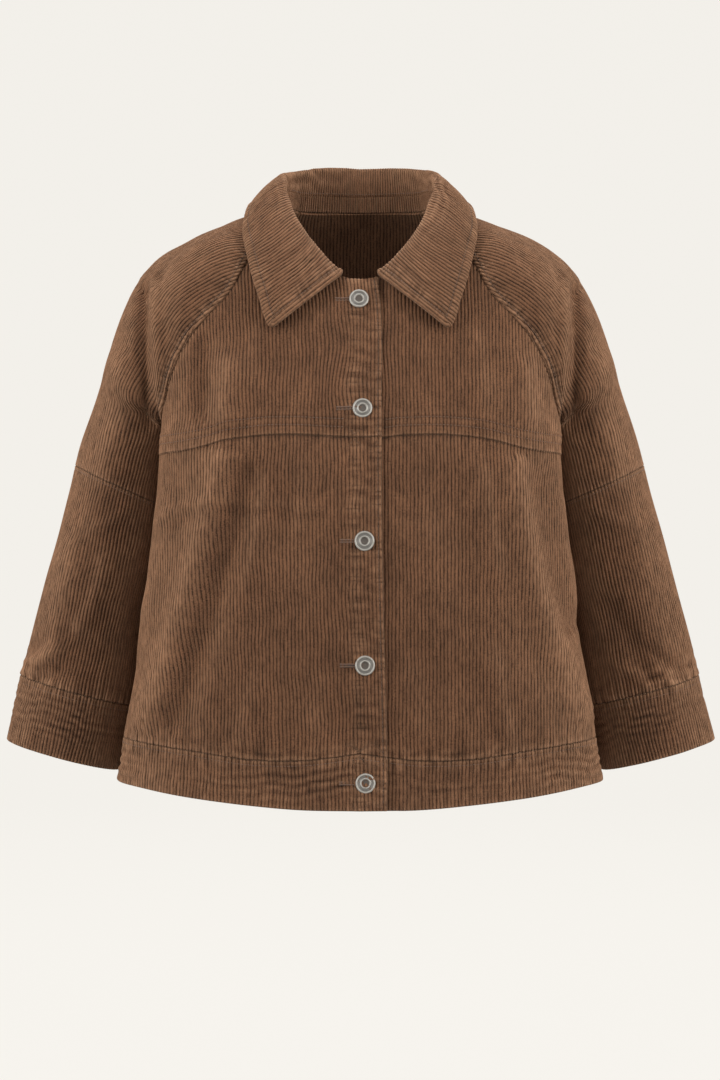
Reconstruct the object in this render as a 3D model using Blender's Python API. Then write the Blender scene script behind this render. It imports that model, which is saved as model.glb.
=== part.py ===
# Corduroy jacket: raglan sleeves to below the elbow, turned-down collar, yoke, hem band, cuffs
# and five metal tack buttons. It hangs filled out and hollow, open at neck, cuffs and hem.
# Frame: +X is the wearer's left, -Y the front, +Z up; the origin lies between the shoulders.
# Sizes are in millimetres; MM turns them into Blender's metres when a mesh is made.
import math

import bmesh
import bpy
import numpy as np

MM = 0.001

# cloth
CLOTH = 2.0             # one layer of corduroy
DOUBLE_CLOTH = 3.0      # two layers pressed together: collar, hem band and cuffs
SEAM_GAP = 0.3          # air between two pieces that are sewn edge to edge
LAP_DROP = 3.7          # how far the left front lies under the right one
LAP_MARGIN = 4.0        # it is at that depth from this far past the right front's edge
LAP_FADE = 14.0         # width over which it sinks to there

# closure
LAP_UNDER = 20.0        # the left front reaches this far past centre front
COLLAR_START = 15.0     # the collar's ends are this far from centre front

# buttons
BUTTON_RADIUS = 10.0
BUTTON_HEIGHT = 3.4
BUTTON_SIDES = 20
SHANK_RADIUS = 2.0
BUTTON_AT = ((-1.0, -95.0), (2.5, -208.0), (4.5, -341.0), (5.0, -465.0), (5.5, -582.0))
HOLE_RADIUS = 2.6       # round end of a buttonhole, about the shank
HOLE_LENGTH = 24.0      # its slit
HOLE_OPENING = 1.0
HOLE_SIDES = 10
HOLE_DEPTH = 6.0        # a cutter reaches this far to each side of the cloth

# side seam and underarm
SIDE_TURN = math.radians(94)
UNDERARM_HEIGHT = -235.0
PULL_CENTRE = 15.0      # the side is drawn in behind the front corner, around this depth
PULL_SPREAD = 58.0
ARM_ROOM = 5.0          # air between the body's side and the sleeve, away from their seam
ROOM_FADE = 18.0        # distance from the seam over which that air opens

# mesh
NECK_SHARES = (0, 0.17, 0.34, 0.46, 0.62, 0.81, 1)     # columns from centre front to the neck
SEAM_COLUMNS = 13
YOKE_ROWS = 7
LOWER_ROWS = 10
BAND_ROWS = 2
SLEEVE_COLUMNS = 26
ELBOW_ROWS = 3
LOWER_SLEEVE_ROWS = 8
CUFF_ROWS = 2
COLLAR_COLUMNS = 38
STAND_ROWS = 2
FALL_ROWS = 11


def table(columns, rows):
    """Rows of a table as one array for each named column."""
    return {name: np.array([row[i] for row in rows], float)
            for i, name in enumerate(columns.split())}


# level sections of the body, from the hem up: superellipses of this squareness
BODY = table("height half_width front back squareness side_pull", (
    (-620, 267, 166, 137, 2.6, 16),
    (-560, 256, 163, 135, 2.6, 17),
    (-490, 245, 161, 133, 2.6, 19),
    (-400, 234, 159, 131, 2.7, 22),
    (-330, 224, 156, 129, 2.8, 25),
    (-250, 216, 150, 126, 3.0, 26),
    (-200, 214, 138, 124, 2.9, 20),
    (-150, 217, 123, 121, 2.8, 8),
    (-100, 221, 105, 115, 2.6, 0),
    (-60, 226, 88, 106, 2.3, 0),
    (-25, 186, 64, 96, 2.2, 0),
    (0, 127, 45, 84, 2.1, 0),
    (14, 84, 34, 75, 2.1, 0),
    (40, 30, 16, 50, 2.0, 0),
))

# seams on the body; share is the part of the way from centre front (or back) to the side seam
NECK = table("girth height", (
    (0, -74), (15, -72), (30, -61), (45, -44), (60, -26), (72, -11), (84, 3)))
BACK_NECK = table("girth height", ((0, 14), (30, 14), (55, 13.5), (72, 13)))
YOKE_SEAM = table("share height", (
    (0, -237), (0.34, -236), (0.42, -239.5), (0.5, -246), (0.74, -252), (1, -254)))
HEM_SEAM = table("share height", (
    (0, -553), (0.16, -560), (0.28, -560), (0.48, -552), (0.7, -545), (1, -544)))
HEM_EDGE = table("share height", (
    (0, -610), (0.16, -609), (0.3, -605), (0.46, -599), (0.66, -591), (1, -588)))
BACK_CHEST = table("share height", ((0, -262), (0.5, -260), (1, -254)))
BACK_HEM_SEAM = table("share height", ((0, -550), (0.5, -549), (1, -544)))
BACK_HEM_EDGE = table("share height", ((0, -596), (0.5, -595), (1, -588)))
LAP_EDGE = table("height reach", (
    (-620, 27), (-550, 27), (-460, 25), (-310, 22), (-200, 22), (-100, 21), (-70, 18)))

# raglan seams from neck (0) to underarm (1), on the body; girth from centre front or back.
# outer is the sleeve's shoulder line; crest says how far the body's corner fills the section
RAGLAN = table("along front_girth front_height back_girth back_height"
               " outer_x outer_y outer_height crest half_depth", (
    (0.00, 84, 3, 72, 13, 84, -5, 10, 1.0, 33),
    (0.12, 104, -34, 90, -4, 116, -2, 3, 1.0, 42),
    (0.25, 119, -58, 108, -30, 146, 0, -8.5, 1.0, 48),
    (0.38, 135, -87, 126, -64, 177, 3, -21, 0.96, 58),
    (0.50, 158, -111, 146, -98, 205, 6, -36.5, 0.88, 64),
    (0.60, 177, -131, 162, -128, 222, 8, -51, 0.78, 72),
    (0.68, 192, -150, 175, -150, 235, 11, -69.5, 0.66, 77),
    (0.78, 209, -176, 190, -176, 248, 14, -97, 0.46, 77),
    (0.88, 232, -204, 211, -204, 260, 16, -131, 0.25, 75),
    (0.94, 266, -222, 240, -221, 268, 17, -155, 0.10, 74),
    (1.00, 0, UNDERARM_HEIGHT, 0, UNDERARM_HEIGHT, 277, 18, -180, 0.0, 73),
))
SMOOTHING = 28.0        # how softly the body's corner runs into the sleeve
DEPTH_PULL = 80.0       # how strongly the rows turn square to the front as the seams close
TUCK = 0.85             # the sleeve's own round starts this share of the way in from the seams

# sleeve below the underarm: its inner line keeps this clearance from the body's side
ARM = table("along inner_height clearance outer_x outer_y outer_height half_depth", (
    (1.00, UNDERARM_HEIGHT, 0, 277, 18, -180, 73),
    (1.20, -270, 6, 290, 20, -221, 72),
    (1.40, -306, 9, 301.5, 21, -261, 70),
    (1.60, -376, 11, 321, 22, -335, 66),
    (1.80, -446, 12, 341, 22, -409, 62),
    (2.00, -515, 12, 360, 22, -483, 59),
    (2.20, -584, 14, 376, 22, -552, 55),
))
ELBOW_SEAM = 1.40
CUFF_SEAM = 2.00
CUFF_EDGE = 2.20

# collar from its front end (0) to centre back (1): roll line and outer edge. lift holds its
# foot off the neckline, stand is the stand's height, rise rounds the roll, crown bows the leaf
COLLAR = table("along roll_x roll_y roll_z edge_x edge_y edge_z lift stand rise crown", (
    (0.00, 15, -99, -67, 90, -120, -121, 5.5, 0, 2, 16),
    (0.07, 28, -93, -55, 97, -115, -108, 5.0, 0, 2, 16),
    (0.15, 39, -85, -41, 103, -109, -93, 4.5, 0, 3, 16),
    (0.25, 50, -73, -23, 111, -98, -70, 3.5, 0, 5, 16),
    (0.33, 60, -59, -4, 117, -83, -47, 2.5, 0, 9, 17),
    (0.42, 71, -38, 22, 122, -62, -21, 1.0, 12, 17, 12),
    (0.50, 74, -14, 42, 120, -38, 0, 0.6, 17, 21, 8),
    (0.60, 74, 16, 54, 116, 2, 12, 0.6, 18, 22, 6),
    (0.72, 64, 45, 62, 106, 48, 12, 0.6, 18, 22, 9),
    (0.86, 36, 73, 67, 61, 86, 3, 0.6, 18, 22, 15),
    (1.00, 0, 84, 69, 0, 101, -1, 0.6, 18, 22, 18),
))
ROLL_ROUND = 8.0        # a roll that rises less than this springs straight from the neckline

# main folds, as the garment is seen from the front (or the back): x is signed, side tells which
# pieces they lie on, and height is positive for a ridge and negative for a trough
FOLDS = (
    # side, start, middle, end, half width, height
    ("front", (-134, -248), (-165, -370), (-224, -540), 15, 7.0),
    ("front", (-110, -260), (-140, -380), (-190, -540), 17, -6.0),
    ("front", (156, -252), (176, -375), (233, -535), 15, 6.5),
    ("front", (180, -262), (200, -370), (222, -440), 14, -5.0),
    ("front", (-124, -150), (-132, -190), (-134, -232), 13, 4.5),
    ("front", (-160, -125), (-158, -170), (-162, -225), 12, -4.5),
    ("front", (165, -150), (170, -190), (172, -232), 13, 4.5),
    ("front", (-40, -300), (-60, -420), (-50, -530), 26, 3.0),
    ("front", (70, -300), (90, -420), (100, -540), 26, 3.0),
    ("sleeve", (-246, -140), (-256, -210), (-266, -290), 15, 3.5),
    ("sleeve", (246, -140), (256, -210), (266, -290), 15, 3.5),
    ("sleeve", (-300, -330), (-312, -400), (-330, -470), 15, 4.0),
    ("sleeve", (255, -400), (285, -450), (310, -490), 13, -5.0),
    ("back", (-95, -180), (-120, -350), (-165, -540), 20, 6.0),
    ("back", (90, -180), (125, -350), (175, -540), 20, 6.0),
    ("back", (-30, -260), (-20, -400), (-40, -540), 22, -5.0),
    ("back", (40, -230), (50, -400), (60, -540), 22, -4.0),
)
FOLD_STEPS = 41
FOLD_FADE = 26.0        # a fold dies away over this length at its ends
SEAM_FADE = 14.0        # and over this distance from a raglan seam


def curve_through(knots, values, at):
    """A smooth curve through a table's rows: cubic pieces with the neighbours' slopes."""
    knots = np.asarray(knots, float)
    values = np.asarray(values, float)
    slopes = np.gradient(values, knots, axis=0)
    at = np.clip(np.asarray(at, float), knots[0], knots[-1])
    i = np.clip(np.searchsorted(knots, at, side="right") - 1, 0, len(knots) - 2)
    span = knots[i + 1] - knots[i]
    t = (at - knots[i]) / span
    if values.ndim > 1:
        t = t[..., None]
        span = span[..., None]
    return ((2 * t**3 - 3 * t**2 + 1) * values[i] + (t**3 - 2 * t**2 + t) * span * slopes[i]
            + (3 * t**2 - 2 * t**3) * values[i + 1] + (t**3 - t**2) * span * slopes[i + 1])


def read(rows, column, at):
    """One column of a table at any value of the table's first column."""
    return curve_through(next(iter(rows.values())), rows[column], at)


def soft_step(t):
    """0 below 0, 1 above 1 and smooth between."""
    t = np.clip(t, 0, 1)
    return t * t * (3 - 2 * t)


def unit(vectors):
    """Vectors made one long."""
    return vectors / np.maximum(np.linalg.norm(vectors, axis=-1, keepdims=True), 1e-9)


def along_line(points, shares):
    """Points at these shares of the length of each polyline in points [..., step, 3]."""
    steps = np.linalg.norm(np.diff(points, axis=-2), axis=-1)
    length = np.concatenate([np.zeros(steps.shape[:-1] + (1,)), np.cumsum(steps, axis=-1)], axis=-1)
    flat_points = points.reshape(-1, points.shape[-2], 3)
    flat_length = length.reshape(-1, length.shape[-1])
    rows = [np.stack([np.interp(shares * run[-1], run, line[:, k]) for k in range(3)], axis=-1)
            for line, run in zip(flat_points, flat_length)]
    return np.array(rows).reshape(points.shape[:-2] + (len(shares), 3))


# ---- the body's surface

TURNS = np.linspace(0, math.pi, 181)


def body_point(turn, height):
    """Outer surface at turn radians from centre front towards +X, at a height."""
    width = read(BODY, "half_width", height)
    depth = np.where(np.cos(turn) > 0, read(BODY, "front", height), read(BODY, "back", height))
    power = read(BODY, "squareness", height)
    radius = (np.abs(np.sin(turn) / width)**power
              + np.abs(np.cos(turn) / depth)**power)**(-1 / power)
    x = radius * np.sin(turn)
    y = -radius * np.cos(turn)
    pull = read(BODY, "side_pull", height) * np.exp(-((y - PULL_CENTRE) / PULL_SPREAD)**2)
    return np.stack([x - pull, y, height + 0 * x], axis=-1)


def body_side(depth, height):
    """How far out the body's side reaches at a depth (y) and height."""
    ahead = np.where(depth < 0, read(BODY, "front", height), read(BODY, "back", height))
    power = read(BODY, "squareness", height)
    rest = np.clip(1 - np.abs(depth / ahead)**power, 0, 1)**(1 / power)
    pull = read(BODY, "side_pull", height) * np.exp(-((depth - PULL_CENTRE) / PULL_SPREAD)**2)
    return read(BODY, "half_width", height) * rest - pull


def girths(height):
    """Distance round the body from centre front to each of TURNS, at each height."""
    ring = body_point(TURNS, np.asarray(height, float)[..., None])
    steps = np.linalg.norm(np.diff(ring, axis=-2), axis=-1)
    return np.concatenate([np.zeros(steps.shape[:-1] + (1,)), np.cumsum(steps, axis=-1)], axis=-1)


def side_girth(height, from_back=False):
    """Distance round the body from centre front (or back) to the side seam."""
    run = girths(height)
    at = SIDE_TURN / math.pi * (len(TURNS) - 1)
    low = int(at)
    front = run[..., low] * (low + 1 - at) + run[..., low + 1] * (at - low)
    return run[..., -1] - front if from_back else front


def body_at(girth, height, from_back=False):
    """Outer surface at a distance girth round from centre front (or back), at a height.
    A negative girth lies past the centre line, on the other half."""
    girth, height = np.broadcast_arrays(np.asarray(girth, float), np.asarray(height, float))
    run = girths(height)
    goal = run[..., -1] - np.abs(girth) if from_back else np.abs(girth)
    step = np.clip((run <= goal[..., None]).sum(axis=-1) - 1, 0, len(TURNS) - 2)[..., None]
    low = np.take_along_axis(run, step, axis=-1)[..., 0]
    high = np.take_along_axis(run, step + 1, axis=-1)[..., 0]
    turn = (step[..., 0] + (goal - low) / (high - low)) * math.pi / (len(TURNS) - 1)
    point = body_point(turn, height)
    point[..., 0] *= np.where(girth < 0, -1, 1)
    return point


def body_normal(girth, height, from_back=False):
    """Outward direction of the body's surface there."""
    step = 1.5
    across = body_at(girth + step, height, from_back) - body_at(girth - step, height, from_back)
    upward = body_at(girth, height + step, from_back) - body_at(girth, height - step, from_back)
    return unit(np.cross(upward, across) if from_back else np.cross(across, upward))


# ---- folds

def fold_path(start, middle, end):
    """A fold's line through its three points, seen from the front."""
    t = np.linspace(0, 1, FOLD_STEPS)[:, None]
    start, middle, end = (np.array(p, float) for p in (start, middle, end))
    bend = 2 * middle - (start + end) / 2
    return (1 - t)**2 * start + 2 * t * (1 - t) * bend + t**2 * end


def fold_relief(points, pieces):
    """How far the folds of these pieces (front, back or sleeve) raise the cloth at each point."""
    relief = np.zeros(points.shape[:-1])
    seen = points[..., (0, 2)]
    for side, start, middle, end, width, height in FOLDS:
        if side != pieces:
            continue
        path = fold_path(start, middle, end)
        away = np.linalg.norm(seen[..., None, :] - path, axis=-1)
        nearest = away.argmin(axis=-1)
        distance = away.min(axis=-1)
        length = np.linalg.norm(path[-1] - path[0])
        place = nearest / (FOLD_STEPS - 1) * length
        ends = soft_step(np.minimum(place, length - place) / FOLD_FADE + 0.25)
        relief += height * ends * np.exp(-(distance / width)**2)
    depth = points[..., 1]
    facing = {"front": (30 - depth) / 30, "back": depth / 30, "sleeve": (20 - depth) / 40}
    return relief * soft_step(facing[pieces])


# ---- meshes

def material(name, colour, roughness, metallic=0.0):
    """A plain material for one piece; the colour is linear RGB."""
    made = bpy.data.materials.new(name)
    made.use_nodes = True
    shader = made.node_tree.nodes["Principled BSDF"]
    shader.inputs["Base Color"].default_value = (*colour, 1)
    shader.inputs["Roughness"].default_value = roughness
    shader.inputs["Metallic"].default_value = metallic
    return made


def add_object(name, points, faces, finish, smooth=True):
    """A mesh object from points in millimetres, with its faces turned outwards."""
    mesh = bpy.data.meshes.new(name)
    mesh.from_pydata((np.asarray(points) * MM).tolist(), [], faces)
    work = bmesh.new()
    work.from_mesh(mesh)
    bmesh.ops.recalc_face_normals(work, faces=work.faces)
    work.to_mesh(mesh)
    work.free()
    mesh.materials.append(material(name, *finish))
    if smooth:
        mesh.shade_smooth()
        mesh.set_sharp_from_angle(angle=math.radians(40))
    made = bpy.data.objects.new(name, mesh)
    bpy.context.scene.collection.objects.link(made)
    return made


def grid_normals(points, closed_from=None):
    """Normals of a grid [row, column] by differences; from row closed_from on the columns meet."""
    down = np.gradient(points, axis=0)
    across = np.gradient(points, axis=1)
    if closed_from is not None:
        wrap = (points[closed_from:, 1] - points[closed_from:, -2]) / 2
        across[closed_from:, 0] = wrap
        across[closed_from:, -1] = wrap
    normals = unit(np.cross(across, down))
    middle = points.mean(axis=(0, 1))
    outward = np.einsum("rck,rck->rc", normals, points - middle).mean() > 0
    return normals if outward else -normals


def draw_in(points, edges):
    """Moves the named edges of a grid inwards by half a seam's gap."""
    points = points.copy()
    half = SEAM_GAP / 2
    if "top" in edges:
        points[0] += half * unit(points[1] - points[0])
    if "bottom" in edges:
        points[-1] += half * unit(points[-2] - points[-1])
    if "left" in edges:
        points[:, 0] += half * unit(points[:, 1] - points[:, 0])
    if "right" in edges:
        points[:, -1] += half * unit(points[:, -2] - points[:, -1])
    return points


def wall(name, points, normals, thickness, edges, finish, closed_from=None):
    """A cloth wall: the grid of outer points, the same grid moved in, and a rim between.
    From row closed_from on, the last column is the first."""
    rows, columns = points.shape[:2]
    if closed_from is None:
        closed_from = rows
    outer = draw_in(points, edges)
    outer[closed_from:-1, 0] = points[closed_from:-1, 0]
    inner = outer - normals * thickness
    count = rows * columns

    def number(row, column, layer=0):
        if row >= closed_from and column == columns - 1:
            column = 0
        return layer * count + row * columns + column

    faces = []
    for row in range(rows - 1):
        for column in range(columns - 1):
            loop = ((row, column), (row, column + 1), (row + 1, column + 1), (row + 1, column))
            faces.append([number(*at) for at in loop])
            faces.append([number(*at, layer=1) for at in reversed(loop)])
    top_and_bottom = [((row, c), (row, c + 1)) for row in (0, rows - 1) for c in range(columns - 1)]
    sides = [((r, column), (r + 1, column)) for column in (0, columns - 1)
             for r in range(min(rows - 1, closed_from))]
    for one, two in top_and_bottom + sides:
        faces.append([number(*one), number(*two), number(*two, layer=1), number(*one, layer=1)])
    used = sorted({n for face in faces for n in face})
    place = {n: i for i, n in enumerate(used)}
    both = np.concatenate([outer.reshape(-1, 3), inner.reshape(-1, 3)])
    return add_object(name, both[used], [[place[n] for n in face] for face in faces], finish)


BROWN = (0.118, 0.062, 0.040)
LIGHT_BROWN = (0.145, 0.078, 0.050)
DARK_BROWN = (0.100, 0.050, 0.032)
CORDUROY = (BROWN, 0.92)
CORDUROY_LIGHT = (LIGHT_BROWN, 0.92)
CORDUROY_DARK = (DARK_BROWN, 0.94)
BUTTON_METAL = ((0.42, 0.40, 0.37), 0.32, 1.0)


def mirrored(points, side):
    """The same points on the wearer's left (side 1) or right (side -1)."""
    return points * np.array([side, 1, 1])


# ---- raglan seams and sleeves

def raglan_girth(along, which):
    """Girth of the front or back raglan seam; it ends on the side seam."""
    column = RAGLAN[which + "_girth"].copy()
    column[-1] = side_girth(UNDERARM_HEIGHT, which == "back")
    return curve_through(RAGLAN["along"], column, along)


def raglan_point(along, which):
    """A point of the front or back raglan seam on the body."""
    return body_at(raglan_girth(along, which), read(RAGLAN, which + "_height", along),
                   which == "back")


def even_stations():
    """Values of along that share the front raglan seam evenly."""
    along = np.linspace(0, 1, 201)
    line = raglan_point(along, "front")
    run = np.concatenate([[0], np.cumsum(np.linalg.norm(np.diff(line, axis=0), axis=1))])
    return np.interp(np.linspace(0, run[-1], SEAM_COLUMNS + 1), run, along)


def sleeve_frame(along):
    """For each row of the sleeve: where it leaves the front and back seams, its outer point,
    how far the body's corner fills it and its half depth."""
    along = np.asarray(along, float)
    up = np.minimum(along, 1)
    down = np.maximum(along, 1)
    inner = body_at(side_girth(read(ARM, "inner_height", down)), read(ARM, "inner_height", down))
    inner[..., 0] += read(ARM, "clearance", down)
    raglan = (along < 1)[..., None]
    front = np.where(raglan, raglan_point(up, "front"), inner)
    back = np.where(raglan, raglan_point(up, "back"), inner)
    outer_raglan = np.stack([read(RAGLAN, "outer_" + k, up) for k in ("x", "y", "height")], axis=-1)
    outer_arm = np.stack([read(ARM, "outer_" + k, down) for k in ("x", "y", "height")], axis=-1)
    outer = np.where(raglan, outer_raglan, outer_arm)
    crest = np.where(along < 1, read(RAGLAN, "crest", up), 0)
    half_depth = np.where(along < 1, read(RAGLAN, "half_depth", up), read(ARM, "half_depth", down))
    return front, back, outer, crest, half_depth


def sleeve_rows(along, shares):
    """Rows round the sleeve from front seam over the shoulder line to back seam. In the plane of
    those three points each row is the larger of two rounds about the middle of the seams: the
    body's corner, and an ellipse for the arm, which closes where the seams meet."""
    front, back, outer, crest, half_depth = sleeve_frame(along)
    turn = np.linspace(0, math.pi, 181)
    middle = (front + back) / 2
    chord = back - front
    half = np.linalg.norm(chord, axis=-1)[:, None] / 2
    chord_way = unit(chord + np.array([0, DEPTH_PULL, 0]))
    reach = outer - middle
    rise = np.linalg.norm(reach, axis=-1)[:, None]
    power = 1.7 + 0.7 * soft_step(along / 0.25)[:, None]
    corner = np.maximum(rise * crest[:, None], 1e-3)
    body = ((np.abs(np.cos(turn)) / np.maximum(half, 1e-3))**power
            + (np.sin(turn) / corner)**power)**(-1 / power)
    depth = half_depth[:, None]
    part = np.sqrt(np.clip(1 - (TUCK * half / depth)**2, 0, 1))
    centre = rise * part / (1 + part)
    height = rise - centre
    a = np.cos(turn)**2 / depth**2 + np.sin(turn)**2 / height**2
    b = centre * np.sin(turn) / height**2
    arm = (b + np.sqrt(np.maximum(b**2 - a * (centre**2 / height**2 - 1), 0))) / a
    spare = np.sqrt(np.clip(1 - crest, 0, 1))[:, None]
    soft = SMOOTHING * spare * np.minimum(1, 2 * np.sin(turn)) + 1e-3
    soft = np.minimum(soft, half + 1e-3)
    overlap = np.maximum(soft - np.abs(body - arm), 0) / soft
    radius = np.maximum(body, arm) + overlap**2 * soft / 4
    row = (middle[:, None] - (radius * np.cos(turn))[..., None] * chord_way[:, None]
           + (radius * np.sin(turn))[..., None] * (reach / rise)[:, None])
    to_front = np.maximum(np.cos(turn), 0)[:, None]**2
    to_back = np.maximum(-np.cos(turn), 0)[:, None]**2
    row += (to_front * (front[:, None] - row[:, :1]) + to_back * (back[:, None] - row[:, -1:]))
    return along_line(keep_clear(row, along), shares)


def keep_clear(row, along):
    """Moves the sleeve's rows out of the body's side; on the seams they stay."""
    gap = np.minimum(np.linalg.norm(row - row[:, :1], axis=-1),
                     np.linalg.norm(row - row[:, -1:], axis=-1))
    below = soft_step((along - 1) / 0.2)[:, None]
    room = ARM_ROOM * np.maximum(soft_step(gap / ROOM_FADE), below)
    least = body_side(row[..., 1], row[..., 2]) + room
    reached = soft_step((along - 0.6) / 0.1)[:, None]
    push = np.maximum(least - row[..., 0], 0) * reached
    return row + np.stack([push, 0 * push, 0 * push], axis=-1)


def sleeve_normals(points, stations):
    """Normals of a sleeve grid; on a raglan seam they are the body's where it lies flat there."""
    closed_from = int(np.sum(stations < 1))
    normals = grid_normals(points, closed_from)
    up = stations[:closed_from]
    for column, beside, which in ((0, 1, "front"), (-1, -2, "back")):
        panel = body_normal(raglan_girth(up, which), read(RAGLAN, which + "_height", up),
                            which == "back")
        own = normals[:closed_from, column]
        leaving = unit(points[:closed_from, beside] - points[:closed_from, column])
        turned = soft_step(np.sum(leaving * panel, axis=-1) / 0.5) * soft_step(up / 0.3 - 1)
        normals[:closed_from, column] = unit(panel + (own - panel) * turned[:, None])
    return normals, closed_from


def fold_sleeve(points, normals, stations, side):
    """Raises the sleeve's folds, which leave its raglan seams as they are."""
    closed_from = int(np.sum(stations < 1))
    fade = np.ones(points.shape[:2])
    for column in (0, -1):
        gap = np.linalg.norm(points - points[:, column][:, None], axis=-1)
        fade[:closed_from] *= soft_step(gap[:closed_from] / SEAM_FADE)
    points = mirrored(points, side)
    normals = mirrored(normals, side)
    relief = fold_relief(points, "sleeve") * fade
    return points + normals * relief[..., None], normals


def make_sleeves():
    """Upper and lower sleeve and cuff on each side."""
    shares = np.linspace(0, 1, SLEEVE_COLUMNS + 1)
    elbow_rows = np.linspace(1, ELBOW_SEAM, ELBOW_ROWS + 1)[1:]
    upper = np.concatenate([even_stations(), elbow_rows])
    lower = np.linspace(ELBOW_SEAM, CUFF_SEAM, LOWER_SLEEVE_ROWS + 1)
    cuff = np.linspace(CUFF_SEAM, CUFF_EDGE, CUFF_ROWS + 1)
    stations = np.concatenate([upper, lower[1:], cuff[1:]])
    grid = sleeve_rows(stations, shares)
    normals, closed_from = sleeve_normals(grid, stations)
    elbow = len(upper) - 1
    wrist = elbow + LOWER_SLEEVE_ROWS
    grid[..., 0] += SEAM_GAP / 2        # keeps the seams apart where the sleeve turns back
    for side, word in ((-1, "right"), (1, "left")):
        points, turned = fold_sleeve(grid, normals, stations, side)
        wall("sleeve_upper_" + word, points[:elbow + 1], turned[:elbow + 1], CLOTH,
             ("top", "bottom", "left", "right"), CORDUROY, closed_from)
        wall("sleeve_lower_" + word, points[elbow:wrist + 1], turned[elbow:wrist + 1], CLOTH,
             ("top", "bottom"), CORDUROY, 0)
        wall("cuff_" + word, points[wrist:], turned[wrist:], DOUBLE_CLOTH, ("top",),
             CORDUROY_DARK, 0)


# ---- fronts and back

def top_edge(which, start):
    """Girths and heights along a panel's top: its neckline, then its raglan seam."""
    rows = BACK_NECK if which == "back" else NECK
    shares = NECK_SHARES if start < 0 else np.linspace(0, 1, len(NECK_SHARES))
    neck = start + np.array(shares) * (rows["girth"][-1] - start)
    neck_height = read(rows, "height", np.abs(neck))
    stations = even_stations()[1:]
    return (np.concatenate([neck, raglan_girth(stations, which)]),
            np.concatenate([neck_height, read(RAGLAN, which + "_height", stations)]))


def seam_height(rows, girth, which):
    """Height of a cross seam at a girth, read at the share of the way to the side seam."""
    height = np.full(np.shape(girth), rows["height"][0])
    for _ in range(3):
        share = np.abs(girth) / side_girth(height, which == "back")
        height = read(rows, "height", share)
    return height


def column_girths(top_girth, which, height, start):
    """Girths of a panel's columns on the level of a cross seam: shared as along its top."""
    neck_end = (BACK_NECK if which == "back" else NECK)["girth"][-1]
    top_side = side_girth(UNDERARM_HEIGHT, which == "back")
    reach = side_girth(height, which == "back")
    wide = neck_end * 1.12
    neck_part = start + (top_girth - start) / (neck_end - start) * (wide - start)
    side_part = wide + (top_girth - neck_end) / (top_side - neck_end) * (reach - wide)
    return np.where(top_girth <= neck_end, neck_part, side_part)


def cross_seam(rows, top_girth, which, start):
    """Girths and heights of a panel's columns on a cross seam."""
    height = np.full(len(top_girth), rows["height"][0])
    for _ in range(3):
        girth = column_girths(top_girth, which, height, start)
        height = seam_height(rows, girth, which)
    return girth, height


def panel_rows(which, seams, start):
    """Girths and heights of a whole panel's rows from its top edge down through its cross seams,
    and the rows that lie on them. Below the first seam each column keeps its share."""
    girth, height = (line[None] for line in top_edge(which, start))
    top_girth = girth[0]
    marks = [0]
    for seam, count in zip(seams, (YOKE_ROWS, LOWER_ROWS, BAND_ROWS)):
        t = np.linspace(0, 1, count + 1)[1:, None]
        end_girth, end_height = cross_seam(seam, top_girth, which, start)
        new_height = height[-1] + (end_height - height[-1]) * t
        if marks[-1] == 0:
            new_girth = girth[-1] + (end_girth - girth[-1]) * t
        else:
            new_girth = column_girths(top_girth, which, new_height, start)
        girth = np.concatenate([girth, new_girth])
        height = np.concatenate([height, new_height])
        marks.append(len(girth) - 1)
    return girth, height, marks


def lap_reach(height):
    """How far the right front reaches past centre front."""
    return read(LAP_EDGE, "reach", height)


def trim_to_lap(girth, height):
    """Lets the first columns of the right front follow the lap's edge."""
    keep = np.clip(np.arange(girth.shape[1]) / (len(NECK_SHARES) - 1), 0, 1)
    return girth - (lap_reach(height[:, :1]) + girth[:, :1]) * (1 - keep)


def front_grid(side):
    """A front half from neckline to hem: points, normals and the rows of its seams."""
    start = -LAP_UNDER
    girth, height, marks = panel_rows("front", (YOKE_SEAM, HEM_SEAM, HEM_EDGE), start)
    if side < 0:
        girth = trim_to_lap(girth, height)
    points = mirrored(body_at(girth, height), side)
    normals = mirrored(body_normal(girth, height), side)
    relief = fold_relief(points, "front") * raglan_fade(points, "front", side)
    if side > 0:
        inside = points[..., 0] - lap_reach(height) - LAP_MARGIN
        relief -= LAP_DROP * (1 - soft_step(inside / LAP_FADE))
    return points + normals * relief[..., None], normals, marks


def back_grid():
    """The whole back from neckline to hem: points, normals and the rows of its seams."""
    girth, height, marks = panel_rows("back", (BACK_CHEST, BACK_HEM_SEAM, BACK_HEM_EDGE), 0.0)
    points = body_at(girth, height, from_back=True)
    normals = body_normal(girth, height, from_back=True)
    whole = np.concatenate([mirrored(points[:, :0:-1], -1), points], axis=1)
    turned = np.concatenate([mirrored(normals[:, :0:-1], -1), normals], axis=1)
    fade = raglan_fade(whole, "back", 1) * raglan_fade(whole, "back", -1)
    relief = fold_relief(whole, "back") * fade
    return whole + turned * relief[..., None], turned, marks


def raglan_fade(points, which, side):
    """0 on the raglan seam, rising to 1 beside it."""
    line = mirrored(raglan_point(np.linspace(0, 1, 41), which), side)
    gap = np.linalg.norm(points[..., None, :] - line, axis=-1).min(axis=-1)
    return soft_step(gap / SEAM_FADE)


def button_frame(x, height):
    """Place of a button on the right front, and its outward, across and upward directions."""
    ahead = np.array([math.copysign(1, x), 1, 1])
    place = body_at(abs(x), height) * ahead
    way = body_normal(abs(x), height) * ahead
    across = unit(np.cross(np.array([0, 0, 1.0]), way))
    return place, way, across, np.cross(way, across)


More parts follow.
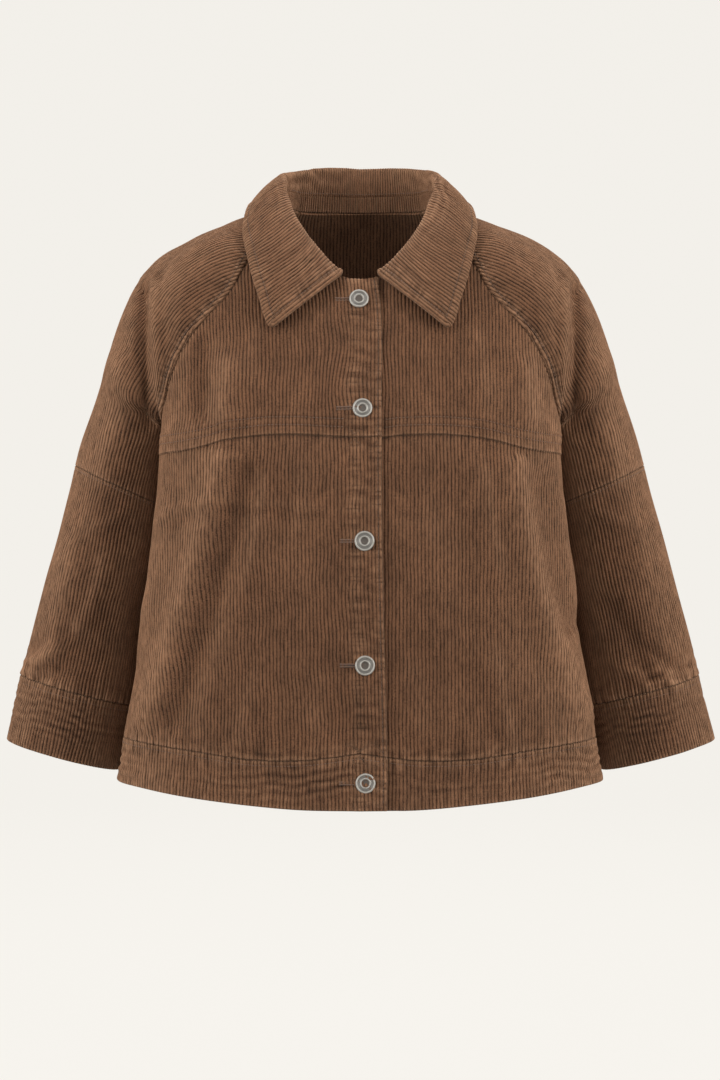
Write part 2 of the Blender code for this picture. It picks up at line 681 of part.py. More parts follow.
def hole_outline():
    """A keyhole: a round end about the shank and a slit away from the front's edge."""
    half = HOLE_OPENING / 2
    start = math.asin(half / HOLE_RADIUS)
    turns = np.linspace(math.pi + start, 3 * math.pi - start, HOLE_SIDES)
    ring = HOLE_RADIUS * np.stack([np.cos(turns), np.sin(turns)], axis=-1)
    return np.concatenate([ring, [(-HOLE_LENGTH, half), (-HOLE_LENGTH, -half)]])


def cut_hole(panel, x, height):
    """Cuts a buttonhole through a front."""
    place, way, across, upward = button_frame(x, height)
    outline = hole_outline()
    flat = place + outline[:, :1] * across + outline[:, 1:] * upward
    points = np.concatenate([flat - way * HOLE_DEPTH, flat + way * HOLE_DEPTH])
    count = len(outline)
    faces = [[i, (i + 1) % count, count + (i + 1) % count, count + i] for i in range(count)]
    faces += [list(range(count)), list(range(count, 2 * count))]
    cutter = add_object("cutter_%s_%d" % (panel.name, -height), points, faces, BUTTON_METAL,
                        smooth=False)
    cutter.hide_render = True
    cutter.display_type = 'WIRE'
    cut = panel.modifiers.new("buttonhole", 'BOOLEAN')
    cut.operation = 'DIFFERENCE'
    cut.solver = 'EXACT'
    cut.object = cutter


def make_fronts():
    """Yoke, lower front and hem band on each side; the right half laps over the left."""
    for side, word in ((-1, "right"), (1, "left")):
        points, normals, marks = front_grid(side)
        pieces = (("front_yoke_", 0, 1, CLOTH, CORDUROY_LIGHT, ("top", "bottom", "right")),
                  ("front_lower_", 1, 2, CLOTH, CORDUROY, ("top", "bottom", "right")),
                  ("hem_band_", 2, 3, DOUBLE_CLOTH, CORDUROY_LIGHT, ("top", "right")))
        for name, first, last, thickness, finish, edges in pieces:
            rows = slice(marks[first], marks[last] + 1)
            panel = wall(name + word, points[rows], normals[rows], thickness, edges, finish)
            if side < 0:
                for x, height in BUTTON_AT:
                    if points[rows][-1, 0, 2] < height < points[rows][0, 0, 2]:
                        cut_hole(panel, x, height)


def make_back():
    """The back panel and its hem band."""
    points, normals, marks = back_grid()
    rows = slice(marks[0], marks[2] + 1)
    wall("back", points[rows], normals[rows], CLOTH, ("top", "bottom", "left", "right"), CORDUROY)
    rows = slice(marks[2], marks[3] + 1)
    wall("hem_band_back", points[rows], normals[rows], DOUBLE_CLOTH, ("top", "left", "right"),
         CORDUROY_LIGHT)


# ---- collar

def neckline():
    """Half the neckline from the collar's front end to centre back, on the wearer's left."""
    girth = np.linspace(COLLAR_START, NECK["girth"][-1], 40)
    front = body_at(girth, read(NECK, "height", girth))
    shoulder = sleeve_rows(np.array([0.0]), np.linspace(0, 1, 30))[0]
    girth = np.linspace(BACK_NECK["girth"][-1], 0, 30)
    back = body_at(girth, read(BACK_NECK, "height", girth), from_back=True)
    return np.concatenate([front, shoulder[1:-1], back])


def collar_sections(along):
    """Lines up the stand, over the roll and down the leaf, for each station from the front end
    to centre back, and the share of each that is the stand."""
    foot = along_line(neckline(), along)
    foot[:, 2] += read(COLLAR, "lift", along)
    roll = np.stack([read(COLLAR, "roll_" + k, along) for k in "xyz"], axis=-1)
    edge = np.stack([read(COLLAR, "edge_" + k, along) for k in "xyz"], axis=-1)
    rise = read(COLLAR, "rise", along)[:, None]
    crown = read(COLLAR, "crown", along)[:, None]
    up = unit(roll - foot + np.array([0, 0, 0.5]))
    outward = unit(edge - roll)
    length = np.linalg.norm(edge - roll, axis=-1, keepdims=True)
    lift = unit(np.cross(outward, np.cross(up, outward)))
    turn_in = foot + (roll - up * rise * 0.6 - foot) * soft_step(rise / ROLL_ROUND - 1)
    t = np.linspace(0, 1, 40)[None, :, None]
    first = turn_in + (roll - turn_in) * 1.8
    second = edge - outward * length * 0.45 + lift * crown
    bend = ((1 - t)**3 * turn_in[:, None] + 3 * t * (1 - t)**2 * first[:, None]
            + 3 * t**2 * (1 - t) * second[:, None] + t**3 * edge[:, None])
    whole = np.concatenate([foot[:, None], bend], axis=1)
    run = np.linalg.norm(np.diff(whole, axis=1), axis=-1).sum(axis=1)
    return whole, read(COLLAR, "stand", along) / run


def make_collar():
    """The stand inside the neck and the leaf that rolls over it and lies on the shoulders."""
    along = np.linspace(0, 1, COLLAR_COLUMNS // 2 + 1)
    lines, stand = collar_sections(along)
    low = np.linspace(0, 1, STAND_ROWS + 1)
    leaf = np.linspace(0, 1, FALL_ROWS + 1)**1.15
    rows = np.array([along_line(line, np.concatenate([share * low, share + (1 - share) * leaf]))
                     for line, share in zip(lines, stand)]).transpose(1, 0, 2)
    whole = np.concatenate([rows, mirrored(rows[:, -2::-1], -1)], axis=1)
    seam = STAND_ROWS + 1
    normals = grid_normals(np.delete(whole, seam, axis=0))
    has_stand = np.flatnonzero(stand > 0.02)
    columns = slice(has_stand[0], whole.shape[1] - has_stand[0])
    wall("collar_stand", whole[:seam, columns], normals[:seam, columns], DOUBLE_CLOTH,
         ("bottom",), CORDUROY_DARK)
    wall("collar_fall", whole[seam:], normals[seam - 1:], DOUBLE_CLOTH, ("top",), CORDUROY_LIGHT)


# ---- buttons

def button_profile():
    """Radius and height of a tack button from its shank to its middle: a raised rim,
    a sunk ring, an inner ring and a hollow centre."""
    top = BUTTON_HEIGHT
    foot = SEAM_GAP - LAP_DROP
    return ((SHANK_RADIUS, foot), (SHANK_RADIUS, 0.9), (BUTTON_RADIUS - 0.9, 0.9),
            (BUTTON_RADIUS, 1.8), (BUTTON_RADIUS - 0.7, top), (BUTTON_RADIUS - 1.9, top),
            (BUTTON_RADIUS - 2.7, top - 0.9), (5.9, top - 0.8), (5.2, top - 0.1),
            (4.4, top - 0.2), (3.7, top - 1.3))


def make_button(number, x, height):
    """A turned button, square to the cloth, its shank through the buttonhole."""
    place, way, across, upward = button_frame(x, height)
    turns = np.arange(BUTTON_SIDES) / BUTTON_SIDES * 2 * math.pi
    profile = button_profile()
    rings = [place + way * out + radius * (np.cos(turns)[:, None] * across
                                           + np.sin(turns)[:, None] * upward)
             for radius, out in profile]
    points = np.concatenate(rings)
    faces = [[i * BUTTON_SIDES + j, i * BUTTON_SIDES + (j + 1) % BUTTON_SIDES,
              (i + 1) * BUTTON_SIDES + (j + 1) % BUTTON_SIDES, (i + 1) * BUTTON_SIDES + j]
             for i in range(len(profile) - 1) for j in range(BUTTON_SIDES)]
    faces.append(list(range(BUTTON_SIDES)))
    faces.append([(len(profile) - 1) * BUTTON_SIDES + j for j in range(BUTTON_SIDES)])
    add_object("button_%d" % number, points, faces, BUTTON_METAL)


def main():
    for old in list(bpy.data.objects):
        bpy.data.objects.remove(old, do_unlink=True)
    make_fronts()
    make_back()
    make_sleeves()
    make_collar()
    for number, (x, height) in enumerate(BUTTON_AT, start=1):
        make_button(number, x, height)


main()
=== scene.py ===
# Corduroy jacket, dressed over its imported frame. Lengths are in millimetres until a mesh is made.
from functools import partial
import math

import bpy
import numpy as np
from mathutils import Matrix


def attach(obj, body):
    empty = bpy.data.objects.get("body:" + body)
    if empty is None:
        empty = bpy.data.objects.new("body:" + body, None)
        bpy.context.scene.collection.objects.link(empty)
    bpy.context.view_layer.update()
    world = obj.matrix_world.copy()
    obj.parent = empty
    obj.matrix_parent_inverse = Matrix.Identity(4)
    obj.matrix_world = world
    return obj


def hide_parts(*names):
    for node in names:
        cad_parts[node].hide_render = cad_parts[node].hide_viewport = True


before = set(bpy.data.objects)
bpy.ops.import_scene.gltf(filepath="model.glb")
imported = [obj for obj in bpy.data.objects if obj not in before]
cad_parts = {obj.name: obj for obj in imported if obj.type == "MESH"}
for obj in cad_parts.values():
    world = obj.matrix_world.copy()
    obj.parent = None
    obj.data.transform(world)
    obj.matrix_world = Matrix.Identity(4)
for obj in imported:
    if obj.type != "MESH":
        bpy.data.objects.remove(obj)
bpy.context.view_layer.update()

mm = 0.001
pitch = 3.7                     # one wale, four columns of the grid
quarter = pitch / 4
waleShape = np.array([0.0, 0.82, 1.0, 0.82])


def columnsOf(names, rows):     # rows of numbers as one array for each named column
    return {name: np.array([row[i] for row in rows], float) for i, name in enumerate(names.split())}


def curveThrough(knots, values, at):    # cubic pieces through the knots with the neighbours' slopes
    knots = np.asarray(knots, float)
    values = np.asarray(values, float)
    slopes = np.gradient(values, knots, axis=0)
    at = np.clip(np.asarray(at, float), knots[0], knots[-1])
    i = np.clip(np.searchsorted(knots, at, side="right") - 1, 0, len(knots) - 2)
    span = knots[i + 1] - knots[i]
    t = (at - knots[i]) / span
    return ((2 * t**3 - 3 * t**2 + 1) * values[i] + (t**3 - 2 * t**2 + t) * span * slopes[i]
            + (3 * t**2 - 2 * t**3) * values[i + 1] + (t**3 - t**2) * span * slopes[i + 1])


def read(rows, column, at):     # a column of a table at any value of its first column
    return curveThrough(next(iter(rows.values())), rows[column], at)


def softStep(t):                # 0 below 0, 1 above 1, smooth between
    t = np.clip(t, 0, 1)
    return t * t * (3 - 2 * t)


def unit(vectors):              # each vector over its own length
    return vectors / np.maximum(np.linalg.norm(vectors, axis=-1, keepdims=True), 1e-9)


def bell(distance, width):      # 1 on a line, fading to either side
    return np.exp(-(distance / width)**2)


def runAlong(line):             # distance walked along a line of points
    steps = np.linalg.norm(np.diff(line, axis=-2), axis=-1)
    return np.concatenate([np.zeros(steps.shape[:-1] + (1,)), np.cumsum(steps, axis=-1)], axis=-1)


def alongLine(lines, shares):   # points at these shares of the length of each line
    rows = [np.stack([np.interp(shares * run[-1], run, line[:, k]) for k in range(3)], axis=-1)
            for line, run in zip(lines, runAlong(lines))]
    return np.array(rows)


def lookUp(grid, u, v):         # a grid read between its points: Catmull-Rom weights both ways
    u = np.clip(u, 0, grid.shape[0] - 1.0001)
    v = np.clip(v, 0, grid.shape[1] - 1.0001)
    i, j = np.floor(u).astype(int), np.floor(v).astype(int)
    weights = []
    for t in (u - i, v - j):
        weights.append((-t / 2 + t**2 - t**3 / 2, 1 - 2.5 * t**2 + 1.5 * t**3,
                        t / 2 + 2 * t**2 - 1.5 * t**3, -t**2 / 2 + t**3 / 2))
    total = 0
    for a in range(4):
        row = np.clip(i + a - 1, 0, grid.shape[0] - 1)
        for b in range(4):
            column = np.clip(j + b - 1, 0, grid.shape[1] - 1)
            total = total + (weights[0][a] * weights[1][b])[..., None] * grid[row, column]
    return total


def nearestOn(line, points):    # how far each point is from a line, and how far along it that is
    run = runAlong(line)
    gaps, places = [], []
    for row in points.reshape(-1, points.shape[-2], 3):
        away = np.linalg.norm(row[:, None] - line, axis=-1)
        near = away.argmin(axis=-1)
        gaps.append(away[np.arange(len(row)), near])
        places.append(run[near])
    return np.array(gaps).reshape(points.shape[:-1]), np.array(places).reshape(points.shape[:-1])


def mirrored(points, side):     # wearer's left is 1, right is -1
    return points * np.array([side, 1.0, 1.0])

# the body's form: level superellipses, drawn in at the sides

body = {
    "levels": columnsOf("height halfWidth front back squareness sidePull", (
        (-620, 267, 166, 137, 2.6, 16), (-560, 256, 163, 135, 2.6, 17),
        (-490, 245, 161, 133, 2.6, 19), (-400, 234, 159, 131, 2.7, 22),
        (-330, 224, 156, 129, 2.8, 25), (-250, 216, 150, 126, 3.0, 26),
        (-200, 214, 138, 124, 2.9, 20), (-150, 217, 123, 121, 2.8, 8),
        (-100, 221, 105, 115, 2.6, 0), (-60, 226, 88, 106, 2.3, 0),
        (-25, 186, 64, 96, 2.2, 0), (0, 127, 45, 84, 2.1, 0),
        (14, 84, 34, 75, 2.1, 0), (40, 30, 16, 50, 2.0, 0))),
    "sideTurn": math.radians(94), "pullCentre": 15.0, "pullSpread": 58.0,
    "underarm": -235.0,
    "neck": columnsOf("girth height", (
        (0, -74), (15, -72), (30, -61), (45, -44), (60, -26), (72, -11), (84, 3))),
    "backNeck": columnsOf("girth height", ((0, 14), (30, 14), (55, 13.5), (72, 13))),
    "yokeSeam": columnsOf("share height", (
        (0, -237), (0.34, -236), (0.42, -239.5), (0.5, -246), (0.74, -252), (1, -254))),
    "hemSeam": columnsOf("share height", (
        (0, -553), (0.16, -560), (0.28, -560), (0.48, -552), (0.7, -545), (1, -544))),
    "hemEdge": columnsOf("share height", (
        (0, -610), (0.16, -609), (0.3, -605), (0.46, -599), (0.66, -591), (1, -588))),
    "backHemSeam": columnsOf("share height", ((0, -550), (0.5, -549), (1, -544))),
    "backHemEdge": columnsOf("share height", ((0, -596), (0.5, -595), (1, -588))),
    "lapEdge": columnsOf("height reach", (
        (-620, 27), (-550, 27), (-460, 25), (-310, 22), (-200, 22), (-100, 21), (-70, 18))),
    "raglan": columnsOf("along frontGirth frontHeight backGirth backHeight"
                        " outerX outerY outerHeight crest halfDepth", (
        (0.00, 84, 3, 72, 13, 84, -5, 10, 1.0, 33), (0.12, 104, -34, 90, -4, 116, -2, 3, 1.0, 42),
        (0.25, 119, -58, 108, -30, 146, 0, -8.5, 1.0, 48),
        (0.38, 135, -87, 126, -64, 177, 3, -21, 0.96, 58),
        (0.50, 158, -111, 146, -98, 205, 6, -36.5, 0.88, 64),
        (0.60, 177, -131, 162, -128, 222, 8, -51, 0.78, 72),
        (0.68, 192, -150, 175, -150, 235, 11, -69.5, 0.66, 77),
        (0.78, 209, -176, 190, -176, 248, 14, -97, 0.46, 77),
        (0.88, 232, -204, 211, -204, 260, 16, -131, 0.25, 75),
        (0.94, 266, -222, 240, -221, 268, 17, -155, 0.10, 74),
        (1.00, 0, -235, 0, -235, 277, 18, -180, 0.0, 73))),
}
levelStep, girthStep = 2.5, 2.0
heightsAt = np.arange(-640, 61, levelStep)
girthsAt = np.arange(-60, 721, girthStep)


def bodyPoint(turn, height):    # superellipse radius at this turn from centre front
    rows = body["levels"]
    width = read(rows, "halfWidth", height)
    depth = np.where(np.cos(turn) > 0, read(rows, "front", height), read(rows, "back", height))
    power = read(rows, "squareness", height)
    sine, cosine = np.sin(turn), np.cos(turn)
    radius = (np.abs(sine / width)**power + np.abs(cosine / depth)**power)**(-1 / power)
    x, y = radius * sine, -radius * cosine
    pull = read(rows, "sidePull", height) * bell(y - body["pullCentre"], body["pullSpread"])
    return np.stack([x - pull, y, height + 0 * x], axis=-1)


def bodySide(depth, height):    # how far out the body reaches at a depth
    rows = body["levels"]
    ahead = np.where(depth < 0, read(rows, "front", height), read(rows, "back", height))
    power = read(rows, "squareness", height)
    rest = np.clip(1 - np.abs(depth / ahead)**power, 0, 1)**(1 / power)
    pull = read(rows, "sidePull", height) * bell(depth - body["pullCentre"], body["pullSpread"])
    return read(rows, "halfWidth", height) * rest - pull


def bodyTables():               # each level's half ring, read at even distances from either centre
    turns = np.linspace(0, math.pi, 721)
    rings = bodyPoint(turns, heightsAt[:, None])
    runs = runAlong(rings)
    tables = []
    for fromBack in (False, True):
        walked = np.abs(girthsAt)
        sign = np.where(girthsAt < 0, -1, 1)
        rows = []
        for ring, run in zip(rings, runs):
            goal = run[-1] - walked if fromBack else walked
            x, y = np.interp(goal, run, ring[:, 0]), np.interp(goal, run, ring[:, 1])
            rows.append(np.stack([sign * x, y, goal * 0 + ring[0, 2]], axis=-1))
        tables.append(np.array(rows))
    side = np.array([np.interp(body["sideTurn"], turns, run) for run in runs])
    return tables, side, runs[:, -1] - side


(frontTable, backTable), frontSide, backSide = bodyTables()


def sideGirth(height, fromBack=False):  # the way from either centre to the side seam
    return np.interp(height, heightsAt, backSide if fromBack else frontSide)


def bodyAt(girth, height, fromBack=False):      # the tables read, mirrored for girths below 0
    girth, height = np.broadcast_arrays(np.asarray(girth, float), np.asarray(height, float))
    spot = lookUp(backTable if fromBack else frontTable, (height - heightsAt[0]) / levelStep,
                  (np.abs(girth) - girthsAt[0]) / girthStep)
    spot[..., 0] *= np.where(girth < 0, -1, 1)
    return spot


def bodyNormal(girth, height, fromBack=False):  # the way across crossed with the way up
    near = 1.5
    across = bodyAt(girth + near, height, fromBack) - bodyAt(girth - near, height, fromBack)
    upward = bodyAt(girth, height + near, fromBack) - bodyAt(girth, height - near, fromBack)
    return unit(np.cross(upward, across) if fromBack else np.cross(across, upward))


def raglanGirth(along, which):  # the seam's girths through the rows, ending at the side seam
    girth = body["raglan"][which + "Girth"].copy()
    girth[-1] = sideGirth(body["underarm"], which == "back")
    return curveThrough(body["raglan"]["along"], girth, along)


def raglanPoint(along, which):  # the body at the seam's girth and height
    height = read(body["raglan"], which + "Height", along)
    return bodyAt(raglanGirth(along, which), height, which == "back")


def raglanLine(which, side):    # the whole seam, 181 points from neck to underarm
    return mirrored(raglanPoint(np.linspace(0, 1, 181), which), side)


def panelTop(which, girth):     # a panel's upper edge by girth: neckline, raglan seam, side seam
    neck = body["backNeck" if which == "back" else "neck"]
    along = np.linspace(0, 1, 401)[1:]
    low = np.linspace(body["underarm"], -630, 200)[1:]
    near = np.linspace(0, neck["girth"][-1], 60)
    edge = np.concatenate([near, raglanGirth(along, which), sideGirth(low, which == "back")])
    height = np.concatenate([read(neck, "height", near),
                             read(body["raglan"], which + "Height", along), low])
    return np.interp(np.abs(girth), np.maximum.accumulate(edge), height)


def crossSeam(name, girth, which):      # a level seam's height, by its share of the way to the side
    height = np.full(np.shape(girth), body[name]["height"][0], float)
    for _ in range(4):
        height = read(body[name], "height", np.abs(girth) / sideGirth(height, which == "back"))
    return height


# folds, puckers and the small unevenness of worn cloth: start, middle, end, half width, height

folds = {
    "front": (((-134, -248), (-165, -370), (-224, -540), 15, 7.0),
              ((-110, -260), (-140, -380), (-190, -540), 17, -6.0),
              ((156, -252), (176, -375), (233, -535), 15, 6.5),
              ((180, -262), (200, -370), (222, -440), 14, -5.0),
              ((-124, -150), (-132, -190), (-134, -232), 13, 4.5),
              ((-160, -125), (-158, -170), (-162, -225), 12, -4.5),
              ((165, -150), (170, -190), (172, -232), 13, 4.5),
              ((-40, -300), (-60, -420), (-50, -530), 26, 1.6),
              ((70, -300), (90, -420), (100, -540), 26, 1.6)),
    "sleeve": (((-214, -62), (-208, -130), (-205, -205), 7, 4.5),
               ((-228, -70), (-224, -140), (-220, -225), 7, -8.0),
               ((214, -62), (208, -130), (205, -205), 7, 4.0),
               ((228, -70), (224, -140), (220, -225), 7, -7.5),
               ((-246, -140), (-256, -210), (-266, -290), 15, 3.5),
               ((246, -140), (256, -210), (266, -290), 15, 3.5),
               ((-300, -330), (-312, -400), (-330, -470), 15, 4.0),
               ((255, -400), (285, -450), (310, -490), 13, -5.0)),
    "back": (((-95, -180), (-120, -350), (-165, -540), 20, 6.0),
             ((90, -180), (125, -350), (175, -540), 20, 6.0),
             ((-30, -260), (-20, -400), (-40, -540), 22, -5.0),
             ((40, -230), (50, -400), (60, -540), 22, -4.0)),
}
creases = {                     # finer ones, in the same columns
    "front": (((-205, -325), (-150, -302), (-22, -312), 4.5, 2.2),
              ((-198, -334), (-140, -311), (-60, -318), 4.5, -1.8),
              ((-92, -270), (-100, -330), (-118, -400), 8, 2.1),
              ((-60, -262), (-58, -300), (-66, -345), 7, 1.8),
              ((120, -262), (126, -310), (140, -380), 8, 2.2),
              ((60, -258), (66, -300), (74, -350), 8, 1.7),
              ((205, -290), (214, -350), (228, -420), 8, 2.4),
              ((-198, -285), (-206, -350), (-222, -430), 8, 2.7),
              ((-30, -470), (-45, -510), (-40, -550), 8, 1.8),
              ((45, -450), (60, -500), (62, -548), 9, 2.1),
              ((130, -440), (140, -500), (150, -548), 9, 2.4),
              ((-95, -460), (-110, -505), (-118, -552), 9, 2.1),
              ((-96, -110), (-106, -150), (-108, -200), 8, 1.8),
              ((-60, -130), (-66, -170), (-62, -225), 9, 1.4),
              ((62, -125), (70, -170), (68, -228), 9, 1.4),
              ((112, -120), (120, -165), (122, -225), 9, 2.0),
              ((190, -170), (200, -205), (205, -245), 8, 2.4)),
    "sleeve": (((-372, -488), (-350, -470), (-325, -455), 6, 3.6),
               ((-352, -486), (-330, -466), (-300, -452), 6, 3.9),
               ((-345, -492), (-320, -480), (-292, -474), 5, -3.0),
               ((262, -468), (284, -478), (306, -500), 6, 3.3),
               ((300, -452), (322, -468), (350, -474), 6, -3.0),
               ((-300, -420), (-282, -440), (-262, -446), 7, 2.7),
               ((-366, -470), (-340, -452), (-318, -440), 7, -2.7),
               ((292, -458), (318, -484), (334, -500), 7, 3.9),
               ((236, -300), (262, -318), (288, -322), 6, 2.7),
               ((-238, -300), (-262, -322), (-288, -328), 6, 2.7),
               ((-262, -345), (-276, -400), (-300, -440), 8, 3.0),
               ((330, -360), (342, -420), (352, -460), 9, 2.4),
               ((-222, -150), (-236, -190), (-250, -240), 7, 2.1),
               ((222, -160), (238, -200), (252, -246), 7, 2.1),
               ((-190, -70), (-214, -100), (-232, -140), 9, 1.7),
               ((190, -72), (214, -104), (232, -146), 9, 1.7)),
    "back": (((-140, -200), (-176, -300), (-200, -420), 10, 2.7),
             ((150, -190), (180, -300), (205, -430), 10, 2.7),
             ((-60, -60), (-10, -74), (70, -64), 9, 2.1),
             ((-70, -300), (0, -318), (80, -306), 7, 1.8)),
}
facing = {"front": (30, -30), "back": (0, 30), "sleeve": (20, -40)}    # depth of its end, and fade


def foldRelief(points, pieces): # each fold: a bell across a curved line, dying away at its ends
    relief = np.zeros(points.shape[:-1])
    seen = points[..., (0, 2)]
    for start, middle, end, width, height in folds[pieces] + creases[pieces]:
        start, middle, end = (np.array(p, float) for p in (start, middle, end))
        t = np.linspace(0, 1, 41)[:, None]
        path = (1 - t)**2 * start + 2 * t * (1 - t) * (2 * middle - (start + end) / 2) + t**2 * end
        low, high = path.min(axis=0) - 3 * width, path.max(axis=0) + 3 * width
        close = np.all((seen > low) & (seen < high), axis=-1)
        away = np.linalg.norm(seen[close][:, None, :] - path, axis=-1)
        length = np.linalg.norm(path[-1] - path[0])
        place = away.argmin(axis=-1) / 40 * length
        ends = softStep(np.minimum(place, length - place) / 26 + 0.25)
        relief[close] += height * ends * bell(away.min(axis=-1), width)
    limit, fade = facing[pieces]
    return relief * softStep((points[..., 1] - limit) / fade)


def waver(points, seed):        # plane waves of 35 to 110 mm in several directions
    rng = np.random.default_rng(seed)
    total = np.zeros(points.shape[:-1])
    for length in (35, 42, 55, 70, 88, 110):
        way = unit(rng.normal(size=3) * (1, 0.6, 0.5))
        total += 0.0045 * length * np.sin(points @ way * 2 * math.pi / length + rng.uniform(0, 6.3))
    return total


def pucker(run, seed=0.0, period=9.5):  # round bumps along a seam with narrow creases between
    drift = 1.7 * np.sin(run / 14.3 + seed) + 0.9 * np.sin(run / 6.3 + seed * 2)
    wave = np.sqrt(np.abs(np.sin(math.pi * run / period + drift)))
    return (2 * wave - 1.2) * (0.68 + 0.32 * np.sin(run / 21.0 + seed * 5))


def nearestSeam(*seams):        # of several (gap, run, pull), the closest at every point
    gap, run, pull = seams[0]
    for otherGap, otherRun, otherPull in seams[1:]:
        closer = otherGap < gap
        run, pull = np.where(closer, otherRun, run), np.where(closer, otherPull, pull)
        gap = np.minimum(gap, otherGap)
    return {"gap": np.maximum(gap, 0), "run": run + 0 * gap, "pull": pull + 0 * gap}


def drawnOut(run, down, seed, period):  # long shallow wrinkles along a band, wandering and uneven
    bend = 2.3 * np.sin(run / 31 + seed) + 1.5 * np.sin(run / 13.3 + 2 * seed)
    bend = bend + 0.6 * np.sin(run / 6.1)
    return np.sin(2 * math.pi * down / period + bend) * (0.55 + 0.45 * np.sin(run / 47 + seed * 4))


def rubbedAndShaded(fine):               # lighter on the backs of fine bumps, rubbed nap with painted highlight, and painted shade between them
    return np.clip(fine, -0.9, 1.1) * 0.62


def sideOn(points):             # 0 where a grid faces front or back, 1 where it faces left or right
    if min(points.shape[:2]) < 3:
        return 0
    normal = unit(np.cross(np.gradient(points, axis=1), np.gradient(points, axis=0)))
    return softStep((np.abs(normal[..., 0]) - 0.15) / 0.6)


def roundOff(distance, radius): # an edge that turns down as a quarter circle
    rest = radius - np.clip(distance, 0, radius)
    return np.sqrt(np.maximum(radius**2 - rest**2, 0)) - radius


def fading(distance, centre, width):    # a bell round a distance, or with none an even decay
    return np.exp(-distance / width) if centre is None else bell(distance - centre, width)


def banded(rows, at):           # the sum of the rows' amounts, each strongest beside its line
    return sum(amount * fading(at[away], centre, width) for away, centre, width, amount in rows)


def allowance(distance, rise, reach, fall):     # 1 over the layers beside a seam, 0 past them
    risen = softStep(distance / rise) if rise else 1
    return risen * (1 - softStep((distance - reach) / fall))


def softCloth(base, way, name, seed, free=1):   # folds and waver; painted highlight on fold ridges, painted shade in troughs, and painted sheen where the cloth faces sideways
    relief = (foldRelief(base, name) + waver(base, seed)) * free
    worn = np.clip(relief / 15, -0.10, 0.40) + 0.6 * sideOn(base + way * relief[..., None])
    return {"base": base, "way": way, "relief": relief, "folded": relief.copy(), "worn": worn}


# a part's tables name the distances they go by; their columns:
# puckers: along seed period height away centre width, and wrinkles with across and sideSeed
# raised: away rise reach fall height; rounded: away shift radius
# pressed and wear rows: away centre width amount, wear rows lighter as edge wear and darker as
# painted shade in grooves, folds and under laps; seams: away line further along start pull


def addDetails(cloth, at, spec, side=0):
    # relief: waves, raised layers, rounded edges and pressed lines added up; worn: painted
    # highlight and shade on the waves, and the wear rows
    def rowsOf(name):           # a part leaves out the tables it has no rows for
        return spec.get(name, ())
    waves = 0
    for along, seed, period, height, away, centre, width in rowsOf("puckers"):
        waves = waves + height * pucker(at[along], seed, period) * fading(at[away], centre, width)
    for along, across, seed, period, height, away, centre, width, sideSeed in rowsOf("wrinkles"):
        wave = drawnOut(at[along], at[across], seed + sideSeed * side, period)
        waves = waves + height * wave * fading(at[away], centre, width)
    shape = banded(rowsOf("pressed"), at)
    for away, rise, reach, fall, height in rowsOf("raised"):
        shape = shape + height * allowance(at[away], rise, reach, fall)
    for away, shift, radius in rowsOf("rounded"):
        shape = shape + roundOff(at[away] + shift, radius)
    cloth["relief"] = cloth["relief"] + waves + shape
    cloth["worn"] = cloth["worn"] + rubbedAndShaded(waves) + banded(rowsOf("wearAndPaintedLight"), at)


def seamsOf(spec, at):          # gap, run and pull of each seam; a crease lies on a line beside one
    seams = []
    for away, line, further, along, start, pull in spec["seams"]:
        gap = at[away] if line is None else np.abs(at[away] - line)
        seams.append((gap + further, at[along] + start, pull))
    return seams


# meshes; a seam is felt this far away, and the lining is lifted this much towards the lighter
# colour, painted light on the inside

seamReach, liningPaintedLight = 25, 0.12


def rowDepths(span, near, far, spacing):
    # distances down each column: near offsets, even steps, far offsets; short columns squeeze them
    near, far = np.array(near)[:, None], np.array(far)[::-1, None]
    squeeze = np.clip(span / (2.2 * (near[-1] + far[0]) + 1e-6), 0, 1)
    count = max(2, int(round((span.max() - near[-1, 0] - far[0, 0]) / spacing)))
    t = np.linspace(0, 1, count + 1)[1:-1, None]
    first, last = near * squeeze, span - far * squeeze
    return np.concatenate([first, first[-1:] + (last[:1] - first[-1:]) * t, last])


def addMesh(name, points, faces, uvs=None, wearAndPaintedLight=None, seam=None, smoothAngle=80):
    # points over 1000, with the flat layout at each corner, and at each point the wear with painted
    # light and shade, and the seam
    mesh = bpy.data.meshes.new(name)
    mesh.from_pydata((points * mm).tolist(), [], faces)
    mesh.shade_smooth()
    mesh.set_sharp_from_angle(angle=math.radians(smoothAngle))
    if uvs is not None:
        layout = mesh.uv_layers.new(name="cloth").data
        layout.foreach_set("uv", (uvs * mm).astype(np.float32).ravel())
    if wearAndPaintedLight is not None:
        worn = mesh.attributes.new("worn", 'FLOAT', 'POINT').data
        worn.foreach_set("value", wearAndPaintedLight.astype(np.float32))
        place = mesh.attributes.new("seam", 'FLOAT_VECTOR', 'POINT').data
        place.foreach_set("vector", (seam * (1 / seamReach, mm, 1)).astype(np.float32).ravel())
    mesh.update()
    made = bpy.data.objects.new(name, mesh)
    bpy.context.scene.collection.objects.link(made)
    return made


